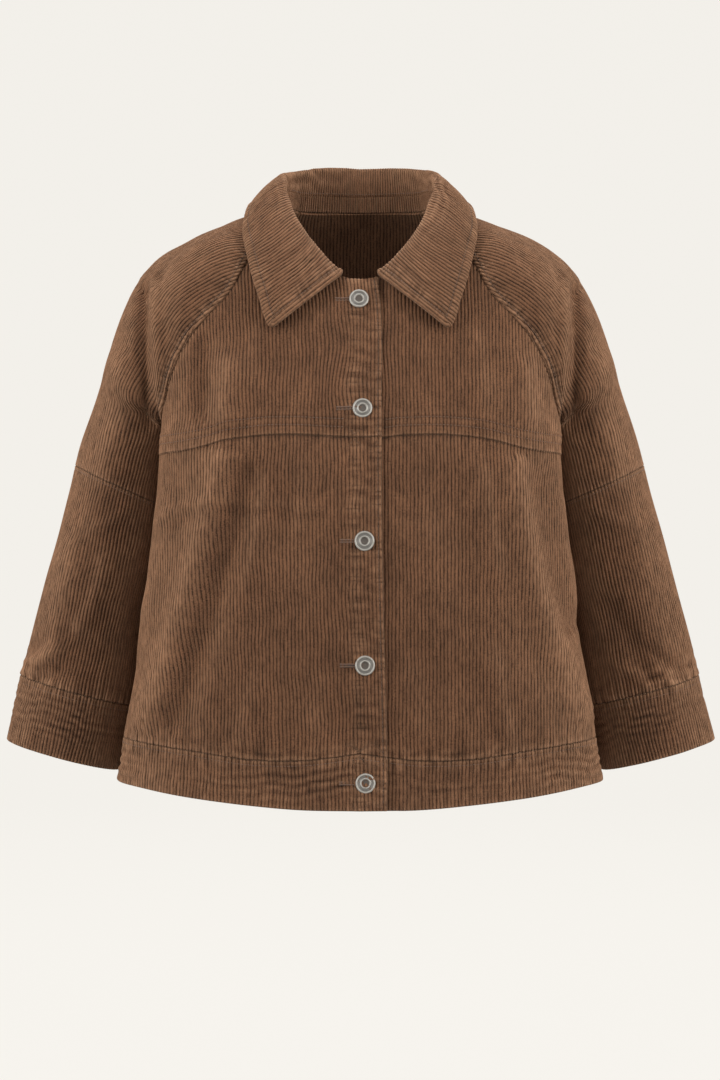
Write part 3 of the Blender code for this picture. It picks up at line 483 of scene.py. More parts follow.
def addShell(name, outer, lining, uv, cloth, closedFrom=None, tent=False):
    # a closed wall: the outer grid, every fourth column of the lining, and rims between. From row
    # closedFrom on the last column is the first; in a tent the rows above it end in that one point
    rows, columns = outer.shape[:2]
    if closedFrom is None:
        closedFrom = rows
    kept = np.append(np.arange(0, columns - 1, 4), columns - 1)
    outerIds = np.arange(rows * columns).reshape(rows, columns)
    innerIds = rows * columns + np.arange(rows * len(kept)).reshape(rows, len(kept))
    joined = [outerIds.copy(), innerIds.copy()]
    for ids in joined:
        if tent:
            ids[:closedFrom, 0] = ids[:closedFrom, -1] = ids[closedFrom, 0]
        ids[closedFrom:, -1] = ids[closedFrom:, 0]
    vertexOf = np.concatenate([ids.ravel() for ids in joined])

    def quads(ids, turned):     # four neighbours to each face, the other way round when turned
        loop = [ids[:-1, :-1], ids[:-1, 1:], ids[1:, 1:], ids[1:, :-1]]
        return np.stack(loop[::-1] if turned else loop, axis=-1).reshape(-1, 4)
    rims = min(rows - 1, closedFrom)
    side, below = slice(0, rims), slice(1, rims + 1)
    parts = [quads(outerIds, False), quads(innerIds, True),
             np.stack([outerIds[side, 0], outerIds[below, 0],
                       innerIds[below, 0], innerIds[side, 0]], -1),
             np.stack([outerIds[below, -1], outerIds[side, -1],
                       innerIds[side, -1], innerIds[below, -1]], -1)]
    corners = np.concatenate(parts)
    whole = vertexOf[corners]
    clean = np.all(whole != np.roll(whole, -1, axis=1), axis=1) & np.all(
        whole[:, :2] != whole[:, 2:], axis=1)
    loops = corners[clean].tolist()
    loose = corners[~clean].tolist()
    for k, (a, b) in enumerate(zip(kept[:-1], kept[1:])):
        loose.append([*outerIds[0, a:b + 1][::-1], innerIds[0, k], innerIds[0, k + 1]])
        loose.append([*outerIds[-1, a:b + 1], innerIds[-1, k + 1], innerIds[-1, k]])
    for loop in loose:
        once = list({int(vertexOf[i]): int(i) for i in loop}.values())
        if len(once) > 2:
            loops.append(once)
    across, down = outer[:, 1:] - outer[:, :-1], outer[1:] - outer[:-1]
    facingOut = np.cross(across[:-1], down[:, :-1])
    outward = np.einsum("rck,rck->rc", facingOut, (outer - lining)[:-1, :-1])
    if outward.sum() < 0:
        loops = [loop[::-1] for loop in loops]
    both = np.concatenate([outer.reshape(-1, 3), lining[:, kept].reshape(-1, 3)])
    bothUv = np.concatenate([uv.reshape(-1, 2), uv[:, kept].reshape(-1, 2)])
    wearAndPaintedLight, gap = cloth["worn"] + 0 * outer[..., 0], np.minimum(cloth["gap"], seamReach)
    # the lining gets a fixed lift towards the lighter colour: painted light on the inside
    bothWearAndPaintedLight = np.concatenate([wearAndPaintedLight.ravel(), 0 * wearAndPaintedLight[:, kept].ravel() + liningPaintedLight])
    seam = np.stack([gap, cloth["run"], cloth["pull"]], axis=-1)
    plain = seam[:, kept] * (0, 1, 0) + (seamReach, 0, 0)
    bothSeam = np.concatenate([seam.reshape(-1, 3), plain.reshape(-1, 3)])
    flat = np.concatenate([np.array(loop) for loop in loops])
    used = np.unique(vertexOf[flat])
    place = np.full(len(vertexOf), -1)
    place[used] = np.arange(len(used))
    faces = [place[vertexOf[loop]].tolist() for loop in loops]
    return addMesh(name, both[used], faces, bothUv[flat], bothWearAndPaintedLight[used], bothSeam[used])

pieces = {}                     # every finished piece by name


def finish(piece, material, nodes=()):      # its body, the nodes it stands for hidden, its slot, and its place in pieces
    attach(piece, "root")
    if nodes:
        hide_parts(*nodes)
    piece.data.materials.append(material)
    pieces[piece.name] = piece


# materials


def nodeGroup(name, inputs, outputs):   # an empty group with these sockets
    tree = bpy.data.node_groups.new(name, 'ShaderNodeTree')
    for label, kind, value in inputs:
        socket = tree.interface.new_socket(label, in_out='INPUT', socket_type=kind)
        if value is not None:
            socket.default_value = value
    for label in outputs:
        tree.interface.new_socket(label, in_out='OUTPUT', socket_type='NodeSocketFloat')
    return tree, tree.nodes.new('NodeGroupInput').outputs, tree.nodes.new('NodeGroupOutput').inputs


def newMaterial(name, fixed):   # a Principled material with these sockets set
    made = bpy.data.materials.new(name)
    made.use_nodes = True
    sockets = made.node_tree.nodes["Principled BSDF"].inputs
    for label, value in fixed.items():
        sockets[label].default_value = value
    return made, made.node_tree, sockets


def feed(tree, sockets, values):        # each socket takes its value, or is linked to it
    for socket, value in zip(sockets, values):
        if isinstance(value, (int, float)):
            socket.default_value = value
        elif isinstance(value, tuple):
            socket.default_value = (*value, 1)
        elif value is not None:
            tree.links.new(value, socket)


def mathNode(tree, operation, *values, clamp=False):    # one sum on numbers or sockets
    node = tree.nodes.new('ShaderNodeMath')
    node.operation = operation
    node.use_clamp = clamp
    feed(tree, node.inputs, values)
    return node.outputs[0]


def mixColour(tree, factor, one, two, blend='MIX'):     # from one to two by the factor
    node = tree.nodes.new('ShaderNodeMix')
    node.data_type = 'RGBA'
    node.blend_type = blend
    feed(tree, (node.inputs[0], node.inputs[6], node.inputs[7]), (factor, one, two))
    return node.outputs[2]


def noiseNode(tree, vector, scale, detail, roughness, stretch=None):    # noise at a stretched place
    if stretch:
        mapping = tree.nodes.new('ShaderNodeMapping')
        mapping.inputs["Scale"].default_value = stretch
        tree.links.new(vector, mapping.inputs["Vector"])
        vector = mapping.outputs["Vector"]
    noise = tree.nodes.new('ShaderNodeTexNoise')
    for label, value in (("Scale", scale), ("Detail", detail), ("Roughness", roughness)):
        noise.inputs[label].default_value = value
    tree.links.new(vector, noise.inputs["Vector"])
    return noise.outputs["Fac"]


def splitVector(tree, vector):  # its three parts
    parts = tree.nodes.new('ShaderNodeSeparateXYZ')
    tree.links.new(vector, parts.inputs[0])
    return parts.outputs


def attributeOf(tree, name, output):    # a value painted on the mesh
    node = tree.nodes.new('ShaderNodeAttribute')
    node.attribute_name = name
    return node.outputs[output]


def layoutOf(tree):             # the flat layout in metres
    node = tree.nodes.new('ShaderNodeUVMap')
    node.uv_map = "cloth"
    return node.outputs["UV"]


def groupNode(tree, group, label, socket):      # a shared effect fed at one socket
    node = tree.nodes.new('ShaderNodeGroup')
    node.node_tree = group
    tree.links.new(socket, node.inputs[label])
    return node


def bendNormal(tree, sockets, height, strength, distance):      # the normal follows this height
    bump = tree.nodes.new('ShaderNodeBump')
    bump.inputs["Strength"].default_value = strength
    bump.inputs["Distance"].default_value = distance
    tree.links.new(height, bump.inputs["Height"])
    tree.links.new(bump.outputs["Normal"], sockets["Normal"])


def makeWaleRibs():             # ridge is 1 on a wale's back and 0 in the valley between two
    tree, given, result = nodeGroup("waleRibs", (
        ("Across", 'NodeSocketFloat', 0.0), ("Wales per metre", 'NodeSocketFloat', 1000 / pitch),
        ("Flatness", 'NodeSocketFloat', 3.0)), ("Ridge",))
    calc = partial(mathNode, tree)
    phase = calc('FRACT', calc('MULTIPLY', given["Across"], given["Wales per metre"]))
    folded = calc('ABSOLUTE', calc('MULTIPLY_ADD', phase, 2.0, -1.0))
    ridge = calc('SUBTRACT', 1.0, calc('POWER', folded, given["Flatness"]))
    tree.links.new(ridge, result["Ridge"])
    return tree


napNoise = {                    # scale, detail, roughness and stretch of each
    "Fleck": (1050, 2.0, 0.7, (1, 0.6, 1)), "Comb": (260, 2.0, 0.6, (1.4, 0.35, 1)),
    "Cloud": (14, 4.0, 0.6), "Patch": (85, 3.0, 0.65, (1, 0.4, 1)),
}


def makeNap():                  # fine flecks of pile, combed patches and large soft clouds
    tree, given, result = nodeGroup("napPile", (("Place", 'NodeSocketVector', None),), napNoise)
    for label, sizes in napNoise.items():
        tree.links.new(noiseNode(tree, given["Place"], *sizes), result[label])
    return tree


def makeSeamPucker():           # bumps along the nearest seam that fade with the distance from it, and a mask on the seam line for painted shade
    tree, given, result = nodeGroup("seamPucker", (
        ("Seam", 'NodeSocketVector', None), ("Bumps per metre", 'NodeSocketFloat', 95.0),
        ("Reach", 'NodeSocketFloat', 0.62)), ("Bump", "Near", "Seam shade"))
    calc = partial(mathNode, tree)
    gap, run, pull = splitVector(tree, given["Seam"])
    flat = tree.nodes.new('ShaderNodeCombineXYZ')
    tree.links.new(run, flat.inputs[0])
    uneven = noiseNode(tree, flat.outputs[0], 60, 2.0, 0.5)
    strong = noiseNode(tree, flat.outputs[0], 38, 2.0, 0.5)
    turns = calc('MULTIPLY', calc('MULTIPLY', run, given["Bumps per metre"]), math.pi)
    phase = calc('MULTIPLY_ADD', uneven, 14.0, turns)
    wave = calc('POWER', calc('ABSOLUTE', calc('SINE', phase)), 0.7)
    share = calc('DIVIDE', gap, given["Reach"])
    near = calc('POWER', calc('SUBTRACT', 1.0, share, clamp=True), 1.5)
    amount = calc('MULTIPLY', near, calc('MULTIPLY_ADD', strong, 3.0, -0.75, clamp=True))
    amount = calc('MULTIPLY', amount, pull)
    # 1 right on the seam line, where the material paints shade
    crease = calc('SUBTRACT', 1.0, calc('DIVIDE', gap, 0.055), clamp=True)
    bump = calc('MULTIPLY', wave, amount)
    for label, value in (("Bump", bump), ("Near", amount), ("Seam shade", crease)):
        tree.links.new(value, result[label])
    return tree


waleRibs, napPile, seamPucker = makeWaleRibs(), makeNap(), makeSeamPucker()
pile = {
    "fixed": {"Sheen Weight": 0.55, "Sheen Roughness": 0.42, "Sheen Tint": (0.86, 0.52, 0.32, 1),
              "Specular IOR Level": 0.15},
    "worn": (0.330, 0.178, 0.099), "flatness": 2.4, "drift": 0.0012, "bump": (0.9, 0.0009),
}


def corduroyMaterial(name, valleyShade, ridge, clouds):
    # valley colour, painted shade between the wales, to ridge by rib and fleck; then towards the
    # worn colour by wear and painted highlight; all times clouds, and painted shade where the wear
    # value is below 0, in pucker dips and on seam lines
    made, tree, sockets = newMaterial(name, pile["fixed"])
    calc = partial(mathNode, tree)
    layout = layoutOf(tree)
    nap = groupNode(tree, napPile, "Place", layout).outputs
    gather = groupNode(tree, seamPucker, "Seam", attributeOf(tree, "seam", "Vector")).outputs
    wearAndPaintedLight = attributeOf(tree, "worn", "Fac")
    fleck, comb = calc('SUBTRACT', nap["Fleck"], 0.5), calc('SUBTRACT', nap["Comb"], 0.5)
    cloud, patch = calc('SUBTRACT', nap["Cloud"], 0.5), calc('SUBTRACT', nap["Patch"], 0.5)

    across = calc('MULTIPLY_ADD', nap["Comb"], pile["drift"], splitVector(tree, layout)[0])
    ribs = groupNode(tree, waleRibs, "Across", calc('SUBTRACT', across, pile["drift"] / 2))
    ribs.inputs["Flatness"].default_value = pile["flatness"]
    rib = ribs.outputs["Ridge"]
    uneven = calc('MULTIPLY_ADD', fleck, 2.3, calc('MULTIPLY', comb, 1.0))
    # the dark valley colour between the wales is painted shade, the ridge colour is the pile's own
    colour = mixColour(tree, calc('MULTIPLY_ADD', rib, 0.92, uneven, clamp=True), valleyShade, ridge)

    # towards the worn colour on pucker bumps and where the wear value is above 0: edge wear, with
    # painted highlight on fold ridges, side-facing cloth and the lining
    abradedAndLit = calc('MULTIPLY_ADD', gather["Bump"], 0.6, calc('MAXIMUM', wearAndPaintedLight, 0.0))
    onNap = calc('MULTIPLY', calc('MULTIPLY_ADD', nap["Comb"], 1.2, -0.1),
                 calc('MULTIPLY_ADD', rib, 0.75, 0.25))
    mask = calc('MULTIPLY', abradedAndLit, onNap, clamp=True)
    speck = calc('MULTIPLY_ADD', nap["Fleck"], 7.0, -4.3, clamp=True)
    mask = calc('MULTIPLY_ADD', calc('MULTIPLY', speck, nap["Cloud"]), 0.55, mask, clamp=True)
    colour = mixColour(tree, mask, colour, pile["worn"])

    soft = calc('MULTIPLY_ADD', patch, 0.95, calc('MULTIPLY_ADD', cloud, clouds * 4, 1.0))
    # painted shade where the wear value is below 0: fold troughs, stitch grooves, under laps and
    # the collar roll
    low = calc('MULTIPLY_ADD', calc('MINIMUM', wearAndPaintedLight, 0.0), 1.1, 1.0)
    # painted shade between pucker bumps, and painted shade on the seam line
    dipShade = calc('MULTIPLY_ADD', calc('SUBTRACT', gather["Near"], gather["Bump"]), -0.55, 1.0)
    crease = calc('MULTIPLY_ADD', gather["Seam shade"], -0.6, 1.0)
    shade = calc('MULTIPLY', calc('MULTIPLY', soft, low), calc('MULTIPLY', dipShade, crease))
    bright = tree.nodes.new('ShaderNodeCombineColor')
    for socket in bright.inputs[:3]:
        tree.links.new(shade, socket)
    colour = mixColour(tree, 1.0, colour, bright.outputs[0], 'MULTIPLY')
    tree.links.new(colour, sockets["Base Color"])
    tree.links.new(calc('MULTIPLY_ADD', nap["Comb"], -0.12, 0.97), sockets["Roughness"])
    height = calc('ADD', calc('MULTIPLY', nap["Fleck"], 0.4), calc('MULTIPLY', nap["Comb"], 0.5))
    height = calc('MULTIPLY_ADD', rib, 0.7, height)
    bendNormal(tree, sockets, calc('MULTIPLY_ADD', gather["Bump"], 1.9, height), *pile["bump"])
    return made


weaves = {name: corduroyMaterial(name, *look) for name, look in {
    # by slot: valley colour, painted shade between the wales; ridge; strength of the clouds
    "corduroy": ((0.0135, 0.0057, 0.0028), (0.146, 0.067, 0.033), 0.16),
    "corduroy_band": ((0.0140, 0.0060, 0.0030), (0.150, 0.070, 0.035), 0.13)}.items()}


def threadMaterial(name, dark, light):  # dark to light by twist and fading
    made, tree, sockets = newMaterial(name, {"Sheen Weight": 0.15})
    calc = partial(mathNode, tree)
    place = tree.nodes.new('ShaderNodeTexCoord').outputs["Object"]
    twist = noiseNode(tree, place, 900, 2.0, 0.6)
    fade = noiseNode(tree, place, 60, 3.0, 0.6)
    share = calc('MULTIPLY_ADD', twist, 0.6, calc('MULTIPLY', fade, 0.4), clamp=True)
    tree.links.new(mixColour(tree, share, dark, light), sockets["Base Color"])
    tree.links.new(calc('MULTIPLY_ADD', fade, 0.25, 0.6), sockets["Roughness"])
    bendNormal(tree, sockets, twist, 0.5, 0.0002)
    return made


thread = threadMaterial("thread", (0.050, 0.024, 0.013), (0.200, 0.108, 0.062))
# near black, for the strip in each buttonhole slit: painted shade
slitShadeMaterial = threadMaterial("buttonhole_slit_shade", (0.006, 0.003, 0.002), (0.020, 0.010, 0.006))
print("materials ready")


def wales(columns, height):     # each column's share of a wale, from valley to back
    return waleShape[columns % 4] * height


def bothFaces(cloth, ribs, thickness):  # the ribbed face, and the smooth one a thickness behind it
    base, way = cloth["base"], cloth["way"]
    return (base + way * (cloth["relief"] + ribs)[..., None],
            base + way * (cloth["folded"] - thickness)[..., None])


def makeCloth(node, spec, cloth, ribs, across, down, held="draped", **shell):
    # both faces of a part, its flat layout from the ways across and down, its slot and its node
    # hidden
    outer, lining = bothFaces(cloth, ribs, spec["thickness"])
    uv = np.stack([across + 0 * down, down], axis=-1)
    piece = addShell("cloth_" + node, outer, lining, uv, cloth, **shell)
    finish(piece, weaves[spec["slot"]], (node,))


# fronts: columns run parallel to the front edge, s is the distance from it

mostColumns = 470
leastHeight = 0.7               # columns shorter than this are left out
raglanFade = 14.0               # folds die away this near the raglan seam
fronts = {
    "lapUnder": 20.0, "lapDrop": 3.7, "lapMargin": 4.0, "lapFade": 14.0, "wale": 0.78,
    "yokeStitches": (10.0, 18.0), "edgeStitch": 4.0, "bandStitch": 5.0, "bandCrease": 28.0,
    "dent": 0.45, "dentReach": 10.0, "drawnPeriod": 15.0, "drawnReach": 26.0,
    "wanderFade": 14.0, "underShare": 0.5,
}
buttonPlaces = ((-1.0, -95.0), (2.5, -208.0), (4.5, -341.0), (5.0, -465.0), (5.5, -582.0))
placket = {
    "raised": (("s", 3, 34.0, 3, 0.5),), "rounded": (("s", 0, 1.5),),
    "pressed": (("s", fronts["edgeStitch"], 1.2, -0.5),), "wearAndPaintedLight": (("s", 0, 2.2, 0.45),),
    "puckers": (("height", 1.0, 11.0, 0.75, "s", 6, 8), ("height", 2.3, 15.0, 0.80, "s", 26, 10)),
    "wrinkles": (("slant", "height", 0.4, 13.0, 0.45, "s", 17, 18, 0),),
    "seams": (("s", None, 0, "height", 0, 1.0), ("s", 27, 2, "height", 400, 0.9)),
}
plainCloth = {
    "thickness": 2.0, "slot": "corduroy",
    "near": (0.15, 1, 2.2, 4, 6.5, 9.5), "far": (0.15, 0.9, 2, 4, 6.5, 9.5),
}
bandCloth = {
    "thickness": 2.7, "slot": "corduroy_band", "rounded": (("down", 0.1, 1.4), ("up", 0, 1.6)),
    "near": (0.15, 0.8, 2, 3.6, 5, 6.4, 9), "far": (0.1, 0.5, 1.2, 2.2, 4.5),
}
frontParts = {
    "yoke": {
        **plainCloth, "node": "front_yoke_", "bottom": "yokeSeam", "spacing": 5.4,
        "near": (0.15, 1, 2.2, 4, 6.5, 9.5, 13),
        "far": (0.15, 0.7, 1.6, 4, 7.4, 10, 12.6, 15.4, 18, 20.6, 23),
        "raised": (("up", None, 20.0, 3.5, 0.95),), "rounded": (("up", 0, 1.3), ("gap", 0.1, 1.3)),
        "pressed": tuple(("up", place, 1.3, -0.6) for place in fronts["yokeStitches"]),
        "puckers": (("girth", 1.7, 9.5, 0.22, "up", 12, 9),
                    ("run", 2.2, 9.5, 0.45, "gap", None, 7)),
        # edges lighter as wear; painted shade in both stitch grooves and fading out from the raglan
        # seam
        "wearAndPaintedLight": (("up", 0, 2.2, 0.5), ("up", 14, 2.5, 0.15), ("gap", 0, 3, 0.15),
                 ("up", 10, 1.3, -0.35), ("up", 18, 1.3, -0.35), ("gap", None, 16, -0.16)),
        "seams": (("gap", None, 0, "run", 0, 0.45), ("up", None, 0, "girth", 0, 0.25))},
    "lower": {
        **plainCloth, "node": "front_lower_", "top": "yokeSeam", "bottom": "hemSeam",
        "spacing": 6.0,
        "rounded": (("down", 0.3, 1.0), ("up", 0.1, 1.4)),
        "puckers": (("girth", 1.7, 12, 0.5, "down", None, 11),
                    ("girth", 3.1, 12, 0.9, "up", None, 13)),
        "wrinkles": (("girth", "up", 6.2, 11.0, 0.5, "up", 6, 9, 0),),
        # painted shadow just below the yoke's lapped edge
        "wearAndPaintedLight": (("up", 2, 3, 0.25), ("down", 0, 2.6, -0.45)),
        "seams": (("down", None, 0, "girth", 0, 0.45), ("up", None, 0, "girth", 900, 0.9))},
    "band": {
        **bandCloth, "node": "hem_band_", "top": "hemSeam", "bottom": "hemEdge", "spacing": 3.6,
        "pressed": (("down", fronts["bandStitch"], 1.2, -0.45),
                    ("down", fronts["bandCrease"], 2.4, -0.75)),
        "puckers": (("girth", 5.2, 9.5, 0.95, "down", 6, 8), ("girth", 0.7, 13, 0.6, "up", 10, 10)),
        "wrinkles": (("girth", "down", 1.2, 9.0, 0.9, "down", 22, 17, 1),),
        # edges lighter as wear; painted shade in the band's fold crease
        "wearAndPaintedLight": (("up", 0, 2.5, 0.5), ("down", 1, 2, 0.3), ("down", 25, 2.5, 0.25),
                 ("down", fronts["bandCrease"], 1.8, -0.3)),
        "seams": (("down", None, 0, "girth", 0, 0.9), ("up", None, 3, "girth", 900, 0.7),
                  ("down", fronts["bandCrease"], 4, "girth", 0, 0.6))},
}


def lapShift(height, side):     # how far past the centre line the front edge lies
    return read(body["lapEdge"], "reach", height) if side < 0 else fronts["lapUnder"] + 0 * height


def wander(s, height):          # wales drift a little, most beside the placket's upper end
    drift = 0.55 * np.sin(height / 31 + s / 23) + 0.42 * np.sin(height / 13.7 - s / 41)
    drift = drift + 0.30 * np.sin(height / 6.7 + s / 11 + 2 * np.sin(s / 37))
    pulled = np.sin((height + 118) / 92 * 2 * math.pi) * bell(height + 165, 52)
    return drift + 3.2 * bell(s - 42, 17) * pulled


def keptStraight(toSide):       # wales run straight beside the side seam
    return softStep((toSide - 2) / 12)


def frontSurface(part, side, s, height):
    # the body at this girth and height, its outward way, and how far the cloth stands off it
    spec = frontParts[part]
    s, height = np.broadcast_arrays(np.asarray(s, float), np.asarray(height, float))
    girth = s - lapShift(height, side)
    fadeIn = softStep((s - 6) / fronts["wanderFade"]) * keptStraight(sideGirth(height) - girth)
    girth = girth + wander(s, height) * fadeIn * (1 if side < 0 else fronts["underShare"])
    base = mirrored(bodyAt(girth, height), side)
    way = mirrored(bodyNormal(girth, height), side)
    gap, run = nearestOn(raglanLine("front", side), base)
    toSide = sideGirth(height) - girth
    at = {"s": s, "slant": 1.5 * s, "height": height, "girth": girth, "gap": gap, "run": run,
          "up": height - crossSeam(spec["bottom"], girth, "front")}
    if "top" in spec:
        at["down"] = crossSeam(spec["top"], girth, "front") - height
    cloth = softCloth(base, way, "front", 3, softStep(gap / raglanFade))
    seams = seamsOf(spec, at)
    if side > 0:                # the left front lies sunk under the lap
        inside = base[..., 0] - lapShift(height, -1) - fronts["lapMargin"]
        cloth["sunk"] = 1 - softStep(inside / fronts["lapFade"])
        relief = cloth["relief"] * (1 - cloth["sunk"]) - fronts["lapDrop"] * cloth["sunk"]
        cloth["relief"], cloth["folded"] = relief, relief.copy()
    else:
        cloth["sunk"] = 0
        addDetails(cloth, at, placket)
        seams += seamsOf(placket, at)
        for x, level in buttonPlaces:   # a dent under each button, and the cloth drawn up beside it
            centre = mirrored(bodyAt(abs(x), level), math.copysign(1, x))
            away = np.linalg.norm(base - centre, axis=-1)
            drawn = np.sin((height - level) / fronts["drawnPeriod"] * 2 * math.pi)
            drawn = drawn * bell(away, fronts["drawnReach"]) - bell(away, fronts["dentReach"])
            cloth["relief"] = cloth["relief"] + fronts["dent"] * drawn
    cloth["relief"] = cloth["relief"] + sideSeam(toSide, height)
    addDetails(cloth, at, spec, side)
    return {**cloth, **nearestSeam((toSide, height, 0.5), *seams)}


def sideSeam(toSide, height):   # its edge turned down and puckered
    return roundOff(toSide + 0.2, 1.2) + 0.22 * pucker(height, 4.0) * np.exp(-toSide / 7)


def makeFront(part, side):      # even columns to where the piece ends, each from seam to seam
    spec = frontParts[part]
    columns = np.arange(0, mostColumns)
    s = columns * quarter
    upper = lower = np.full(len(s), -300.0)
    for _ in range(4):
        girth = s - lapShift(upper, side)
        upper = panelTop("front", girth)
        if "top" in spec:
            upper = np.minimum(upper, crossSeam(spec["top"], girth, "front"))
        lower = crossSeam(spec["bottom"], s - lapShift(lower, side), "front")
    count = int(np.argmax(upper - lower < leastHeight)) or len(s)
    columns, s, upper, lower = columns[:count], s[:count], upper[:count], lower[:count]
    height = upper - rowDepths(upper - lower, spec["near"], spec["far"], spec["spacing"])
    cloth = frontSurface(part, side, s[None] + 0 * height, height)
    ribs = wales(columns, fronts["wale"])[None] * (1 - 0.6 * cloth["sunk"])
    makeCloth(spec["node"] + sideWord[side], spec, cloth, ribs, s[None], height)


sideWord = {-1: "right", 1: "left"}
for side in (-1, 1):
    for part in frontParts:
        makeFront(part, side)
print("fronts ready")


# back: s is the distance from centre back

backs = {"stitch": 5.0, "crease": 26.0, "wale": 0.78}
backParts = {
    "back": {
        **plainCloth, "node": "back", "bottom": "backHemSeam", "spacing": 7.6,
        "rounded": (("gap", 0.1, 1.3), ("up", 0.1, 1.4)), "wearAndPaintedLight": (("up", 2, 3, 0.25),),
        "puckers": (("run", 2.2, 9.5, 0.4, "gap", None, 7),
                    ("girth", 3.1, 13, 0.8, "up", None, 12)),
        "seams": (("gap", None, 0, "run", 0, 0.45), ("up", None, 0, "girth", 0, 0.9))},
    "band": {
        **bandCloth, "node": "hem_band_back", "top": "backHemSeam", "bottom": "backHemEdge",
        "spacing": 4.0,
        "pressed": (("down", backs["stitch"], 1.2, -0.45), ("down", backs["crease"], 2.4, -0.75)),
        "puckers": (("girth", 5.2, 9.5, 0.6, "down", 3, 6),),
        "wrinkles": (("girth", "down", 3.4, 9.0, 0.85, "down", 20, 16, 0),),
        "wearAndPaintedLight": (("up", 0, 2.5, 0.5), ("down", 1, 2, 0.3)),
        "seams": (("down", None, 0, "girth", 0, 0.9),
                  ("down", backs["crease"], 4, "girth", 0, 0.6))},
}


def backSurface(part, s, height):       # as a front, on the back's tables and both raglan seams
    spec = backParts[part]
    s, height = np.broadcast_arrays(np.asarray(s, float), np.asarray(height, float))
    toSide = sideGirth(height, True) - np.abs(s)
    girth = s + wander(s + 200, height) * keptStraight(toSide)
    base = bodyAt(girth, height, True)
    way = bodyNormal(girth, height, True)
    right, left = (nearestOn(raglanLine("back", side), base) for side in (-1, 1))
    gap = np.minimum(left[0], right[0])
    at = {"girth": girth, "gap": gap, "run": np.where(left[0] < right[0], left[1], right[1]),
          "up": height - crossSeam(spec["bottom"], girth, "back")}
    if "top" in spec:
        at["down"] = crossSeam(spec["top"], girth, "back") - height
    cloth = softCloth(base, way, "back", 5, softStep(gap / raglanFade))
    cloth["relief"] = cloth["relief"] + sideSeam(toSide, height)
    addDetails(cloth, at, spec)
    return {**cloth, **nearestSeam((toSide, height, 0.5), *seamsOf(spec, at))}


def makeBack(part):             # as a front, from side seam to side seam
    spec = backParts[part]
    columns = np.arange(-mostColumns, mostColumns + 1)
    s = columns * quarter
    upper = panelTop("back", s)
    if "top" in spec:
        upper = np.minimum(upper, crossSeam(spec["top"], s, "back"))
    lower = crossSeam(spec["bottom"], s, "back")
    inside = upper - lower > leastHeight
    columns, s, upper, lower = columns[inside], s[inside], upper[inside], lower[inside]
    height = upper - rowDepths(upper - lower, spec["near"], spec["far"], spec["spacing"])
    cloth = backSurface(part, s[None] + 0 * height, height)
    makeCloth(spec["node"], spec, cloth, wales(columns, backs["wale"])[None], s[None], height)


for part in backParts:
    makeBack(part)
print("back ready")


# sleeves: s is the distance from the shoulder line, v runs down that line

sleeve = {
    "arm": columnsOf("along innerHeight clearance outerX outerY outerHeight halfDepth", (
        (1.00, -235, 0, 277, 18, -180, 73), (1.20, -270, 6, 290, 20, -221, 72),
        (1.40, -306, 9, 301.5, 21, -261, 70), (1.60, -376, 11, 321, 22, -335, 66),
        (1.80, -446, 12, 341, 22, -409, 62), (2.00, -515, 12, 360, 22, -483, 59),
        (2.20, -584, 14, 376, 22, -552, 55))),
    "smoothing": 28.0, "depthPull": 80.0, "tuck": 0.85, "armRoom": 5.0, "roomFade": 18.0,
    "wale": 0.78, "step": 2.5, "rounds": 120,
    "raglanStitch": 6.0, "elbowStitch": 3.5, "cuffStitch": 6.5, "cuffCrease": 24.0,
    "ends": {"underarm": 1.0, "elbow": 1.4, "wrist": 2.0, "edge": 2.2},
    "raglanPucker": {
        "seed": 1.1, "period": 7.5, "onRidge": 0.8, "past": 0.45, "start": 8, "fade": 7},
}
armRows = (0.15, 0.9, 2, 3.5, 5.5, 8)
